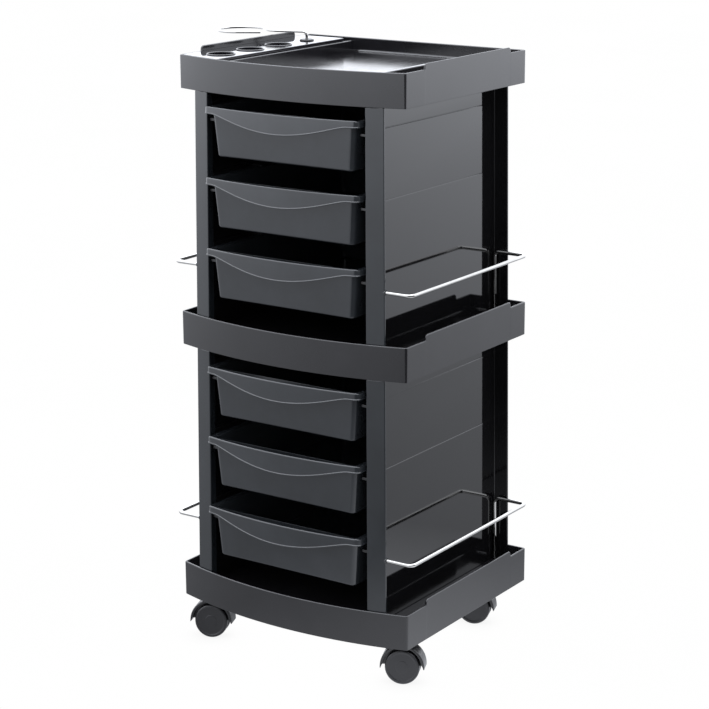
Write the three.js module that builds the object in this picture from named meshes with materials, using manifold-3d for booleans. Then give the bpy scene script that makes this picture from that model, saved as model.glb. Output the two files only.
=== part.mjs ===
// Salon trolley: three bowed trays held apart by side panels and front posts, six drawers on
// runners, four wire towel rails, a swivelling wire dryer holder and four twin-wheel castors.
// Millimetres, +Z up, front towards -Y, origin on the floor under the middle of the bounding
// box. Everything is drawn about the middle of the trays, and the assembly is moved at the end.
import * as THREE from "three";
import { mergeVertices } from "three/addons/utils/BufferGeometryUtils.js";
import Module from "manifold-3d";

const wasm = await Module();
wasm.setup();

// ---------------------------------------------------------------- driving dimensions
const GAP = 0.3; // clearance between neighbouring pieces

const TRAY_BOTTOMS = { base: 64.5, middle: 443.5, top: 824.5 };
const TRAY_HALF_WIDTH = 200.9;
const TRAY_SIDE_REACH = 158.5; // straight sides run from -this to +this
const BOW_RADIUS = 717.5; // plan radius of the bowed front
const TRAY_HEIGHT = 49.7;
const TRAY_WALL = 3;
const TRAY_CORNER = 3.5;
const INNER_CORNER = 2;
const FLOOR_TOP = 28.5; // above the tray's bottom edge
const FLOOR_THICKNESS = 3;
const RIM_RISE = 8.2; // the side rims stand this much above the front and rear rims
const RIM_RISE_FRONT = -110;
const RIM_RISE_REAR = 115;
const RIM_STEP_LEAN = 1;
const BEARING_RIB_WIDTH = 7; // rib under each tray that sits on the side panel
const PAD_MARGIN = 2; // pads under each tray reach this far past the posts and flanges

const WEB_OUTER = 151; // outer face of each side panel
const WEB_THICKNESS = 3;
const WEB_FRONT = -160;
const PANEL_REAR = 152.2;
const REAR_FLANGE_THICKNESS = 3.2;
const REAR_FLANGE_OUTER = 174;
const FLANGE_NOTCH = 9; // cut-back foot of the rear flange
const GROOVE_DEPTHS = [32, 134]; // below the tray that the panel carries
const GROOVE_WIDTH = 1.6;
const GROOVE_CUT = 0.8;

const POST_INNER = 140;
const POST_OUTER = 167.7;
const POST_THICKNESS = 3.2;
const POST_INSET = TRAY_WALL + GAP; // behind the tray's bowed outer face
const POST_FORK_REAR = -152;

const BACK_PANEL_THICKNESS = 3;

const DRAWER_PITCH = 103.5;
const DRAWERS_PER_BAY = 3;
const TOP_DRAWER_DROP = 18.5; // drawer front's top edge, below the tray above
const APRON_HALF_WIDTH = 136.8;
const APRON_PROUD = 8.75; // in front of the tray's bow
const APRON_THICKNESS = 3;
const APRON_END_DEPTH = 10.5;
const APRON_MIDDLE_DEPTH = 29.6;
const APRON_WAVE_REACH = 118;
const WAVE_POWER = 1.3;
const APRON_CORNER = 4;
const DRAWER_FRONT_TOP = -177; // the body's flat front wall leans back towards its bottom
const DRAWER_FRONT_BOTTOM = -173;
const DRAWER_HALF_WIDTH_TOP = 127.6;
const DRAWER_HALF_WIDTH_BOTTOM = 120.9;
const DRAWER_DEPTH_BELOW_APRON = 73.5;
const DRAWER_REAR = 135;
const DRAWER_WALL = 2.5;
const DRAWER_CORNER = 8;
const DRAWER_RIM_DROP = 2.5; // side and rear rim, below the apron's top
const DRAWER_RIM_THICKNESS = 2.5;
const DRAWER_RIM_HALF_WIDTH = 133.6;
const DRAWER_RIM_REAR = 123;
const DRAWER_LIP_BOTTOM = 19.7; // lip that rides on the runner, below the apron's top

const RUNNER_FRONT = -165;
const RUNNER_PLATE_FRONT = -151;
const RUNNER_REAR = 142;
const RUNNER_INNER = 128.5;
const RUNNER_PLATE = 3;
const RUNNER_LEDGE_TOP = 20; // below the apron's top
const RUNNER_LEDGE_THICKNESS = 4;
const RUNNER_GUIDE_BOTTOM = 2.1;
const RUNNER_GUIDE_THICKNESS = 2.6;
const RUNNER_GUIDE_FRONT = -60;

const RAIL_RADIUS = 2.8;
const RAIL_REACH = 210;
const RAIL_HEIGHT = 123.5; // above the bottom edge of the tray below it
const RAIL_FRONT = -160.5;
const RAIL_REAR = 143.5;
const RAIL_LEG = 155.5;
const RAIL_BEND = 8;
const RAIL_SOCKET_RADIUS = 4.1;
const RAIL_SOCKET_INNER = 158;
const RAIL_SOCKET_DEPTH = 5;
const RAIL_SOCKET_PROUD = 0.8; // outside the post's edge
const RAIL_SOCKET_SIDES = 12;

const STRIP_LEFT = -197.4;
const STRIP_RIGHT = -117.7;
const STRIP_REAR = 136;
const STRIP_THICKNESS = 4.5;
const STRIP_HOLE_RADIUS = 19;
const STRIP_COLLAR_WALL = 2.6;
const STRIP_COLLAR_RISE = 1.6;
const STRIP_COLLAR_DROP = 9;
const STRIP_HOLE_X = -150;
const STRIP_HOLES_Y = [-125, -57, 11];
const STRIP_RIB_INNER = -113.5; // the rib opposite mirrors it
const STRIP_RIB_WIDTH = 7.5;
const STRIP_LEDGE_WIDTH = 4; // ledge along the tray's left wall
const RIGHT_RIB_TOP = 38.2; // above the top tray's bottom edge

const HOLDER_PIVOT = new THREE.Vector2(-148, 80);
const HOLDER_WIRE_RADIUS = 2.1;
const HOLDER_HEIGHT = 888; // wire centre above the floor
const HOLDER_BEND = 6;
const HOLDER_NECK = new THREE.Vector2(-209, 62);
const HOLDER_RING_CENTRE = new THREE.Vector2(-252, 50);
const HOLDER_RING_RADIUS = 37;
const HOLDER_RING_START = 42; // degrees, where the neck joins the ring
const HOLDER_RING_END = 299;
const HOLDER_TAIL = 36;
const HOLDER_NECK_EASE = 0.12; // share of the arm taken up by the curve into the ring
const HOLDER_SOCKET_RADIUS = 11;
const HOLDER_BARREL_RADIUS = 8;
const HOLDER_FLANGE_THICKNESS = 2;
const HOLDER_SOCKET_BORE = 2.5;
const HOLDER_SOCKET_DEPTH = 13;

const CASTORS = [
  { name: "front_right", x: 152, y: -127.6, azimuth: 24.4, trail: 17 },
  { name: "front_left", x: -152, y: -127.6, azimuth: 22.2, trail: -17 },
  { name: "rear_right", x: 152, y: 122.9, azimuth: 19.9, trail: -17 },
  { name: "rear_left", x: -152, y: 122.9, azimuth: 21, trail: -17 },
];
const WHEEL_RADIUS = 25;
const WHEEL_SEGMENTS = 24;
const WHEEL_INNER_FACE = 2.6;
const WHEEL_OUTER_FACE = 11.8;
const TREAD_INNER_EDGE = 1.5; // edge chamfers of the tread
const TREAD_OUTER_EDGE = 2.7;
const AXLE_RADIUS = 3;
const AXLE_HALF_LENGTH = 8.6;
const HOOD_OUTER_RADIUS = 32;
const HOOD_INNER_RADIUS = 28;
const HOOD_HALF_WIDTH = 12;
const HOOD_WEB = 4;
const HOOD_TIP_DROP = 2; // how far the hood's two tips hang below the axle
const HOOD_HUB_WALL = 3.5;
const HOOD_COLLAR_OVERLAP = 23; // the stem's collar reaches this far down inside the hood
const COLLAR_RADIUS = 9.5;
const COLLAR_TOP = TRAY_BOTTOMS.base - 0.6;
const STEM_RADIUS = 5.5;
const STEM_BOTTOM = 51;
const STEM_TOP = TRAY_BOTTOMS.base + 22;
const STEM_BOSS_RADIUS = 11;

const MIDDLE_X = -39.04; // middle of the bounding box, seen from the middle of the trays
const MIDDLE_Y = -18.73;

// ---------------------------------------------------------------- materials
const finish = (color, roughness, metalness = 0) =>
  new THREE.MeshStandardMaterial({ color, roughness, metalness });
const TRAY_PLASTIC = finish(0x2c2e32, 0.22);
const PANEL_PLASTIC = finish(0x1d1e20, 0.14);
const DRAWER_PLASTIC = finish(0x33363a, 0.26);
const RUNNER_PLASTIC = finish(0x17181a, 0.5);
const STRIP_PLASTIC = finish(0x202126, 0.12);
const CASTOR_PLASTIC = finish(0x1e1e22, 0.42);
const TYRE = finish(0x2d2e31, 0.62);
const STEEL = finish(0x8f9296, 0.35, 1);
const CHROME = finish(0xe6e8ea, 0.08, 1);

// ---------------------------------------------------------------- solids and booleans
const CYLINDER_SIDES = 20;
const EPSILON = 1; // overshoot of a cutting tool past the face it opens

/** A closed three.js geometry as a solid that can be joined and cut. */
function solid(geometry) {
  const bare = geometry.clone();
  bare.deleteAttribute("normal");
  bare.deleteAttribute("uv");
  const merged = mergeVertices(bare, 1e-4);
  return new wasm.Manifold(
    new wasm.Mesh({
      numProp: 3,
      vertProperties: merged.attributes.position.array,
      triVerts: new Uint32Array(merged.index.array),
    }),
  );
}

/** A solid back as a three.js geometry. */
function geometryOf(body) {
  const mesh = body.getMesh();
  const geometry = new THREE.BufferGeometry();
  geometry.setAttribute("position", new THREE.BufferAttribute(mesh.vertProperties, 3));
  geometry.setIndex(new THREE.BufferAttribute(mesh.triVerts, 1));
  geometry.computeVertexNormals();
  return geometry;
}

function box(xLow, xHigh, yLow, yHigh, zLow, zHigh) {
  const geometry = new THREE.BoxGeometry(xHigh - xLow, yHigh - yLow, zHigh - zLow);
  geometry.translate((xLow + xHigh) / 2, (yLow + yHigh) / 2, (zLow + zHigh) / 2);
  return solid(geometry);
}

/** A shape drawn in X and Y, extruded from zLow to zHigh. */
function prism(points, zLow, zHigh) {
  const shape = new THREE.Shape(points);
  const geometry = new THREE.ExtrudeGeometry(shape, { depth: zHigh - zLow, bevelEnabled: false });
  geometry.translate(0, 0, zLow);
  return geometry;
}

/** A shape drawn in Y and Z, extruded along X. */
function sideProfile(points, xLow, xHigh) {
  const geometry = prism(points, xLow, xHigh);
  const axes = new THREE.Matrix4().makeBasis(
    new THREE.Vector3(0, 1, 0),
    new THREE.Vector3(0, 0, 1),
    new THREE.Vector3(1, 0, 0),
  );
  return solid(geometry.applyMatrix4(axes));
}

/** A shape drawn in X and Z, extruded along Y. */
function frontProfile(points, yLow, yHigh) {
  const geometry = prism(points, -yHigh, -yLow);
  const axes = new THREE.Matrix4().makeRotationX(Math.PI / 2);
  return solid(geometry.applyMatrix4(axes));
}

/** An upright cylinder. */
function post(x, y, radius, zLow, zHigh) {
  const geometry = new THREE.CylinderGeometry(radius, radius, zHigh - zLow, CYLINDER_SIDES);
  geometry.rotateX(Math.PI / 2);
  geometry.translate(x, y, (zLow + zHigh) / 2);
  return solid(geometry);
}

/** A cylinder along X. */
function pinAlongX(xLow, xHigh, y, z, radius, sides = CYLINDER_SIDES) {
  const geometry = new THREE.CylinderGeometry(radius, radius, xHigh - xLow, sides);
  geometry.rotateZ(Math.PI / 2);
  geometry.translate((xLow + xHigh) / 2, y, z);
  return solid(geometry);
}

/** Two distances from the middle plane as low and high X on one side of it. */
function across(side, near, far) {
  return [Math.min(side * near, side * far), Math.max(side * near, side * far)];
}

// ---------------------------------------------------------------- shared outlines
const BOW_SEGMENTS = 12;
const CORNER_SEGMENTS = 3;

/** Y of the tray's bowed front face at a given X, moved back by inset. */
function bowY(x, inset = 0) {
  const chordHeight = Math.sqrt(BOW_RADIUS ** 2 - TRAY_HALF_WIDTH ** 2);
  const centreY = chordHeight - TRAY_SIDE_REACH;
  return centreY - Math.sqrt((BOW_RADIUS - inset) ** 2 - x ** 2);
}

/** Points along the bowed front from xStart to xEnd. */
function bowPoints(xStart, xEnd, inset, segments) {
  return Array.from({ length: segments + 1 }, (_, i) => {
    const x = xStart + ((xEnd - xStart) * i) / segments;
    return new THREE.Vector2(x, bowY(x, inset));
  });
}

/** A rounded corner from one point to another about a control point. */
function corner(from, control, to) {
  return new THREE.QuadraticBezierCurve(from, control, to).getPoints(CORNER_SEGMENTS);
}

/** Plan outline with straight sides, a straight rear edge and a bowed front. */
function bowedOutline(halfWidth, rearY, inset, radius) {
  const v = (x, y) => new THREE.Vector2(x, y);
  const frontEdge = bowY(halfWidth, inset);
  const right = halfWidth - radius;
  const bowEnd = bowY(right, inset);
  return [
    ...corner(v(halfWidth, rearY - radius), v(halfWidth, rearY), v(right, rearY)),
    ...corner(v(-right, rearY), v(-halfWidth, rearY), v(-halfWidth, rearY - radius)),
    ...corner(v(-halfWidth, frontEdge + radius), v(-halfWidth, frontEdge), v(-right, bowEnd)),
    ...bowPoints(-right, right, inset, BOW_SEGMENTS).slice(1, -1),
    ...corner(v(right, bowEnd), v(halfWidth, frontEdge), v(halfWidth, frontEdge + radius)),
  ];
}

/** Plan outline of a box with rounded corners. */
function boxOutline(halfWidth, frontY, rearY, radius) {
  const v = (x, y) => new THREE.Vector2(x, y);
  const right = halfWidth - radius;
  return [
    ...corner(v(halfWidth, rearY - radius), v(halfWidth, rearY), v(right, rearY)),
    ...corner(v(-right, rearY), v(-halfWidth, rearY), v(-halfWidth, rearY - radius)),
    ...corner(v(-halfWidth, frontY + radius), v(-halfWidth, frontY), v(-right, frontY)),
    ...corner(v(right, frontY), v(halfWidth, frontY), v(halfWidth, frontY + radius)),
  ];
}

/** A band that follows the bow between two insets and two X limits. */
function bowedBand(xLow, xHigh, insetFront, insetRear, segments) {
  const front = bowPoints(xLow, xHigh, insetFront, segments);
  const rear = bowPoints(xHigh, xLow, insetRear, segments);
  return [...front, ...rear];
}

// ---------------------------------------------------------------- trays
/** Side view of a tray, whose rims step up along the sides. */
function traySideView() {
  const v = (y, z) => new THREE.Vector2(y, z);
  const high = TRAY_HEIGHT + RIM_RISE;
  const step = RIM_RISE / 2;
  const front = RIM_RISE_FRONT;
  const rear = RIM_RISE_REAR;
  return [
    v(-BOW_RADIUS, -EPSILON),
    v(BOW_RADIUS, -EPSILON),
    v(BOW_RADIUS, TRAY_HEIGHT),
    v(rear + RIM_STEP_LEAN, TRAY_HEIGHT),
    ...corner(v(rear, TRAY_HEIGHT + step), v(rear, high), v(rear - step, high)),
    ...corner(v(front + step, high), v(front, high), v(front, TRAY_HEIGHT + step)),
    v(front - RIM_STEP_LEAN, TRAY_HEIGHT),
    v(-BOW_RADIUS, TRAY_HEIGHT),
  ];
}

function trayOutline(inset) {
  const radius = Math.max(TRAY_CORNER - inset, INNER_CORNER);
  return bowedOutline(TRAY_HALF_WIDTH - inset, TRAY_SIDE_REACH - inset, inset, radius);
}

/** The hollow under a tray's floor, less the ribs and pads that sit on panels and posts. */
function trayUnderside() {
  const floorUnderside = FLOOR_TOP - FLOOR_THICKNESS;
  let hollow = solid(prism(trayOutline(TRAY_WALL), -EPSILON, floorUnderside));
  const ribCentre = WEB_OUTER - WEB_THICKNESS / 2;
  const low = -2 * EPSILON;
  const padFront = bowY(0);
  const rearPadFront = PANEL_REAR - REAR_FLANGE_THICKNESS - PAD_MARGIN;
  const webInner = WEB_OUTER - WEB_THICKNESS;
  const halfRib = BEARING_RIB_WIDTH / 2;
  for (const side of [-1, 1]) {
    const rib = across(side, ribCentre - halfRib, ribCentre + halfRib);
    const postPad = across(side, POST_INNER - PAD_MARGIN, POST_OUTER + PAD_MARGIN);
    const flangePad = across(side, webInner - PAD_MARGIN, REAR_FLANGE_OUTER + PAD_MARGIN);
    hollow = hollow
      .subtract(box(...rib, padFront, TRAY_SIDE_REACH, low, TRAY_HEIGHT))
      .subtract(box(...postPad, padFront, POST_FORK_REAR, low, TRAY_HEIGHT))
      .subtract(box(...flangePad, rearPadFront, TRAY_SIDE_REACH, low, TRAY_HEIGHT));
  }
  return hollow;
}

/** One tray moulding standing on z = 0. */
function trayBody() {
  const outer = solid(prism(trayOutline(0), 0, TRAY_HEIGHT + RIM_RISE));
  const reach = TRAY_HALF_WIDTH + EPSILON;
  const basin = solid(prism(trayOutline(TRAY_WALL), FLOOR_TOP, TRAY_HEIGHT + RIM_RISE + EPSILON));
  return outer
    .intersect(sideProfile(traySideView(), -reach, reach))
    .subtract(basin)
    .subtract(trayUnderside());
}

/** The base tray also has a boss with a blind hole for each castor stem. */
function baseTray() {
  let body = trayBody();
  for (const castor of CASTORS) {
    body = body.add(post(castor.x, castor.y, STEM_BOSS_RADIUS, 0, FLOOR_TOP - 1));
  }
  for (const castor of CASTORS) {
    const holeTop = STEM_TOP - TRAY_BOTTOMS.base + GAP;
    body = body.subtract(post(castor.x, castor.y, STEM_RADIUS + GAP, -EPSILON, holeTop));
  }
  return body;
}

/** The top tray has a rib under the accessory strip's free edge and a lower one opposite. */
function topTray() {
  const stripUnderside = TRAY_HEIGHT - STRIP_THICKNESS - GAP;
  const insideTray = solid(prism(trayOutline(TRAY_WALL / 2), FLOOR_TOP - 1, TRAY_HEIGHT));
  const reach = BOW_RADIUS;
  const leftRib = across(-1, -STRIP_RIB_INNER, STRIP_RIB_WIDTH - STRIP_RIB_INNER);
  const rightRib = across(1, -STRIP_RIB_INNER, STRIP_RIB_WIDTH - STRIP_RIB_INNER);
  const ledge = box(
    -TRAY_HALF_WIDTH,
    STRIP_LEFT + STRIP_LEDGE_WIDTH,
    -reach,
    STRIP_REAR,
    0,
    stripUnderside,
  );
  const ribs = box(...leftRib, -reach, reach, 0, stripUnderside)
    .add(box(...rightRib, -reach, reach, 0, RIGHT_RIB_TOP))
    .add(ledge);
  return trayBody().add(ribs.intersect(insideTray));
}

// ---------------------------------------------------------------- accessory strip and dryer holder
function stripOutline() {
  const inset = TRAY_WALL + GAP;
  const front = bowPoints(STRIP_LEFT + TRAY_CORNER, STRIP_RIGHT, inset, 5);
  return [
    new THREE.Vector2(STRIP_LEFT, bowY(STRIP_LEFT, inset) + TRAY_CORNER),
    ...front,
    new THREE.Vector2(STRIP_RIGHT, STRIP_REAR),
    new THREE.Vector2(STRIP_LEFT, STRIP_REAR),
  ];
}

/** Plate with three collared holes and a bore for the holder's socket, top face at z = 0. */
function accessoryStrip() {
  let plate = solid(prism(stripOutline(), -STRIP_THICKNESS, 0));
  for (const y of STRIP_HOLES_Y) {
    const collarRadius = STRIP_HOLE_RADIUS + STRIP_COLLAR_WALL;
    plate = plate.add(post(STRIP_HOLE_X, y, collarRadius, -STRIP_COLLAR_DROP, STRIP_COLLAR_RISE));
  }
  const drillFrom = -2 * STRIP_COLLAR_DROP;
  for (const y of STRIP_HOLES_Y) {
    plate = plate.subtract(post(STRIP_HOLE_X, y, STRIP_HOLE_RADIUS, drillFrom, STRIP_THICKNESS));
  }
  const { x, y } = HOLDER_PIVOT;
  return plate.subtract(post(x, y, HOLDER_BARREL_RADIUS + GAP, drillFrom, EPSILON));
}

/** Flanged bush that the holder's stem turns in, flange resting on z = 0. */
function holderSocket() {
  const flange = post(0, 0, HOLDER_SOCKET_RADIUS, GAP, GAP + HOLDER_FLANGE_THICKNESS);
  const barrel = post(0, 0, HOLDER_BARREL_RADIUS, -HOLDER_SOCKET_DEPTH, 2 * GAP);
  const holeFloor = HOLDER_FLANGE_THICKNESS - HOLDER_SOCKET_DEPTH;
  const hole = post(0, 0, HOLDER_SOCKET_BORE, holeFloor, STRIP_THICKNESS);
  return flange.add(barrel).subtract(hole);
}

// ---------------------------------------------------------------- bent wires
const BEND_SEGMENTS = 4;
const RING_SEGMENTS = 18;
const WIRE_SIDES = 8;

/** A path through given samples, taken one sample per extrusion step. */
class SampledPath extends THREE.Curve {
  constructor(samples) {
    super();
    this.samples = samples;
  }
  getUtoTmapping(u) {
    return u;
  }
  getPoint(t, target = new THREE.Vector3()) {
    const place = THREE.MathUtils.clamp(t, 0, 1) * (this.samples.length - 1);
    const index = Math.min(Math.floor(place), this.samples.length - 2);
    return target.lerpVectors(this.samples[index], this.samples[index + 1], place - index);
  }
}

/** Samples along a polyline whose inner corners are rounded to a bend radius. */
function roundedPath(corners, bend) {
  const samples = [corners[0]];
  for (let i = 1; i < corners.length - 1; i += 1) {
    const at = corners[i];
    const into = at.clone().sub(corners[i - 1]).normalize();
    const out = corners[i + 1].clone().sub(at).normalize();
    const cut = bend * Math.tan(into.angleTo(out) / 2);
    const start = at.clone().addScaledVector(into, -cut);
    const end = at.clone().addScaledVector(out, cut);
    samples.push(...new THREE.QuadraticBezierCurve3(start, at, end).getPoints(BEND_SEGMENTS));
  }
  samples.push(corners[corners.length - 1]);
  return samples;
}

function wire(samples, radius) {
  const section = new THREE.Shape(
    Array.from({ length: WIRE_SIDES }, (_, i) => {
      const angle = (2 * Math.PI * i) / WIRE_SIDES;
      return new THREE.Vector2(radius * Math.cos(angle), radius * Math.sin(angle));
    }),
  );
  return solid(
    new THREE.ExtrudeGeometry(section, {
      steps: samples.length - 1,
      extrudePath: new SampledPath(samples),
      bevelEnabled: false,
    }),
  );
}

/** Towel rail on one side, with the bottom edge of the tray below it at z = 0. */
function towelRail(side) {
  const v = (x, y, z) => new THREE.Vector3(side * x, y, z);
  const plugged = POST_OUTER - RAIL_SOCKET_DEPTH + 1;
  return wire(
    roundedPath(
      [
        v(plugged, RAIL_FRONT, RAIL_HEIGHT),
        v(RAIL_REACH, RAIL_FRONT, RAIL_HEIGHT),
        v(RAIL_REACH, RAIL_REAR, RAIL_HEIGHT),
        v(RAIL_LEG, RAIL_REAR, RAIL_HEIGHT),
        v(RAIL_LEG, RAIL_REAR, FLOOR_TOP + GAP),
      ],
      RAIL_BEND,
    ),
    RAIL_RADIUS,
  );
}

/** Dryer holder: upright stem, arm, open ring and free tail in one bent wire. */
function dryerHolder(stripTop) {
  const level = (p) => new THREE.Vector3(p.x, p.y, HOLDER_HEIGHT);
  const onRing = (degrees) => {
    const angle = THREE.MathUtils.degToRad(degrees);
    const spoke = new THREE.Vector2(Math.cos(angle), Math.sin(angle));
    return HOLDER_RING_CENTRE.clone().addScaledVector(spoke, HOLDER_RING_RADIUS);
  };
  const footHeight = stripTop + HOLDER_FLANGE_THICKNESS + 1 - HOLDER_SOCKET_DEPTH;
  const foot = level(HOLDER_PIVOT).setZ(footHeight);
  const corners = [foot, level(HOLDER_PIVOT), level(HOLDER_NECK)];
  const arm = roundedPath(corners, HOLDER_BEND).slice(0, -1);
  const neck = new THREE.QuadraticBezierCurve3(
    level(HOLDER_NECK).lerp(level(HOLDER_PIVOT), HOLDER_NECK_EASE),
    level(HOLDER_NECK),
    level(onRing(HOLDER_RING_START)),
  ).getPoints(BEND_SEGMENTS);
  const sweep = HOLDER_RING_END - HOLDER_RING_START;
  const ring = Array.from({ length: RING_SEGMENTS }, (_, i) =>
    level(onRing(HOLDER_RING_START + (sweep * (i + 1)) / RING_SEGMENTS)),
  );
  const endAngle = THREE.MathUtils.degToRad(HOLDER_RING_END);
  const tangent = new THREE.Vector3(-Math.sin(endAngle), Math.cos(endAngle), 0);
  const tail = ring[ring.length - 1].clone().addScaledVector(tangent, HOLDER_TAIL);
  return wire([...arm, ...neck, ...ring, tail], HOLDER_WIRE_RADIUS);
}

// ---------------------------------------------------------------- side structure
/** Front post: a bowed flange, a fork that holds the panel's front edge and the rail's socket. */
function frontPost(side, height) {
  const [xLow, xHigh] = across(side, POST_INNER, POST_OUTER);
  const flangeRear = POST_INSET + POST_THICKNESS;
  const flange = solid(prism(bowedBand(xLow, xHigh, POST_INSET, flangeRear, 4), 0, height));
  const tineOuter = WEB_OUTER - WEB_THICKNESS - GAP;
  const tineInner = tineOuter - WEB_THICKNESS;
  const tineFront = bowY(tineInner, POST_INSET) + 1;
  const tine = box(...across(side, tineInner, tineOuter), tineFront, POST_FORK_REAR, 0, height);
  const socketAt = (radius, near, far) => {
    const z = RAIL_HEIGHT - FLOOR_TOP - GAP;
    return pinAlongX(...across(side, near, far), RAIL_FRONT, z, radius, RAIL_SOCKET_SIDES);
  };
  const mouth = POST_OUTER + RAIL_SOCKET_PROUD;
  const sleeve = socketAt(RAIL_SOCKET_RADIUS, RAIL_SOCKET_INNER, mouth);
  const hole = socketAt(RAIL_RADIUS + GAP, POST_OUTER - RAIL_SOCKET_DEPTH, mouth + EPSILON);
  return flange.add(tine).add(sleeve).subtract(hole);
}

/** Side panel: web and outward rear flange, with moulded grooves, standing on z = 0. */
function sidePanel(side, height) {
  const webInner = WEB_OUTER - WEB_THICKNESS;
  const flangeFront = PANEL_REAR - REAR_FLANGE_THICKNESS;
  const web = box(...across(side, webInner, WEB_OUTER), WEB_FRONT, PANEL_REAR, 0, height);
  const v = (x, z) => new THREE.Vector2(side * x, z);
  const edge = REAR_FLANGE_OUTER;
  const notch = FLANGE_NOTCH;
  const flangeView = [
    v(webInner + 1, 0),
    v(edge - notch, 0),
    ...corner(v(edge - notch, notch), v(edge, notch), v(edge, 2 * notch)),
    v(edge, height),
    v(webInner + 1, height),
  ];
  const outline = side > 0 ? flangeView : flangeView.reverse();
  let panel = web.add(frontProfile(outline, flangeFront, PANEL_REAR));
  const cut = across(side, WEB_OUTER - GROOVE_CUT, WEB_OUTER + EPSILON);
  for (const depth of GROOVE_DEPTHS) {
    const low = height - depth - GROOVE_WIDTH / 2;
    const high = low + GROOVE_WIDTH;
    panel = panel.subtract(box(...cut, WEB_FRONT - EPSILON, flangeFront, low, high));
  }
  return panel;
}

function backPanel(height) {
  const half = WEB_OUTER - WEB_THICKNESS - GAP;
  const rear = PANEL_REAR - REAR_FLANGE_THICKNESS;
  return box(-half, half, rear - BACK_PANEL_THICKNESS, rear, 0, height);
}

// ---------------------------------------------------------------- drawers and runners
const WAVE_SEGMENTS = 16;

/** Depth of the drawer front's wavy lower edge below its top edge. */
function apronDepth(x) {
  const u = Math.min(Math.abs(x) / APRON_WAVE_REACH, 1);
  return APRON_END_DEPTH + (APRON_MIDDLE_DEPTH - APRON_END_DEPTH) * (1 - u * u) ** WAVE_POWER;
}

/** Drawer front seen from the front: straight top, rounded corners, wavy lower edge. */
function apronView() {
  const v = (x, z) => new THREE.Vector2(x, z);
  const half = APRON_HALF_WIDTH;
  const inside = half - APRON_CORNER;
  const low = -APRON_END_DEPTH;
  const wave = Array.from({ length: WAVE_SEGMENTS + 1 }, (_, i) => {
    const x = -APRON_WAVE_REACH + (2 * APRON_WAVE_REACH * i) / WAVE_SEGMENTS;
    return v(x, -apronDepth(x));
  });
  return [
    ...corner(v(-inside, 0), v(-half, 0), v(-half, -APRON_CORNER)),
    ...corner(v(-half, low + APRON_CORNER), v(-half, low), v(-inside, low)),
    ...wave,
    ...corner(v(inside, low), v(half, low), v(half, low + APRON_CORNER)),
    ...corner(v(half, -APRON_CORNER), v(half, 0), v(inside, 0)),
  ];
}

/** The bowed apron in front of the drawer body, with the deck that joins the two. */
function drawerApron() {
  const front = -APRON_PROUD;
  const half = APRON_HALF_WIDTH;
  const band = bowedBand(-half, half, front, front + APRON_THICKNESS, BOW_SEGMENTS);
  const skirt = solid(prism(band, -APRON_MIDDLE_DEPTH - EPSILON, EPSILON));
  const deckRear = DRAWER_FRONT_TOP + DRAWER_WALL;
  const deckOutline = [
    ...bowPoints(-half, half, front + 1, BOW_SEGMENTS),
    new THREE.Vector2(half, deckRear),
    new THREE.Vector2(-half, deckRear),
  ];
  const deckTop = -DRAWER_RIM_DROP;
  const deck = solid(prism(deckOutline, deckTop - DRAWER_RIM_THICKNESS, deckTop));
  const outline = frontProfile(apronView(), bowY(0, front) - EPSILON, deckRear + EPSILON);
  return skirt.add(deck).intersect(outline);
}

/** A tub between two heights that narrows, and whose front leans back, towards its bottom. */
function tub(inset, zLow, zHigh) {
  const top = boxOutline(
    DRAWER_HALF_WIDTH_TOP - inset,
    DRAWER_FRONT_TOP + inset,
    DRAWER_REAR - inset,
    DRAWER_CORNER - inset,
  );
  const geometry = prism(top, zLow, zHigh);
  const place = geometry.attributes.position;
  const narrowing = 1 - DRAWER_HALF_WIDTH_BOTTOM / DRAWER_HALF_WIDTH_TOP;
  const lean = DRAWER_FRONT_BOTTOM - DRAWER_FRONT_TOP;
  for (let i = 0; i < place.count; i += 1) {
    const depth = -place.getZ(i) / DRAWER_DEPTH_BELOW_APRON;
    place.setX(i, place.getX(i) * (1 - narrowing * depth));
    if (place.getY(i) < 0) {
      place.setY(i, place.getY(i) + lean * depth);
    }
  }
  return solid(geometry);
}

/** Drawer with the top edge of its front at z = 0. */
function drawer() {
  const rimTop = -DRAWER_RIM_DROP;
  const rimBottom = rimTop - DRAWER_RIM_THICKNESS;
  const rimFront = DRAWER_FRONT_TOP + 1;
  const lipInner = DRAWER_RIM_HALF_WIDTH - DRAWER_WALL;
  let body = tub(0, -DRAWER_DEPTH_BELOW_APRON, rimTop);
  for (const side of [-1, 1]) {
    const rim = across(side, DRAWER_HALF_WIDTH_TOP - DRAWER_WALL, DRAWER_RIM_HALF_WIDTH);
    const lip = across(side, lipInner, DRAWER_RIM_HALF_WIDTH);
    body = body
      .add(box(...rim, rimFront, DRAWER_RIM_REAR, rimBottom, rimTop))
      .add(box(...lip, rimFront, DRAWER_RIM_REAR, -DRAWER_LIP_BOTTOM, rimTop));
  }
  const floorTop = DRAWER_WALL - DRAWER_DEPTH_BELOW_APRON;
  return body.add(drawerApron()).subtract(tub(DRAWER_WALL, floorTop, EPSILON));
}

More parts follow.
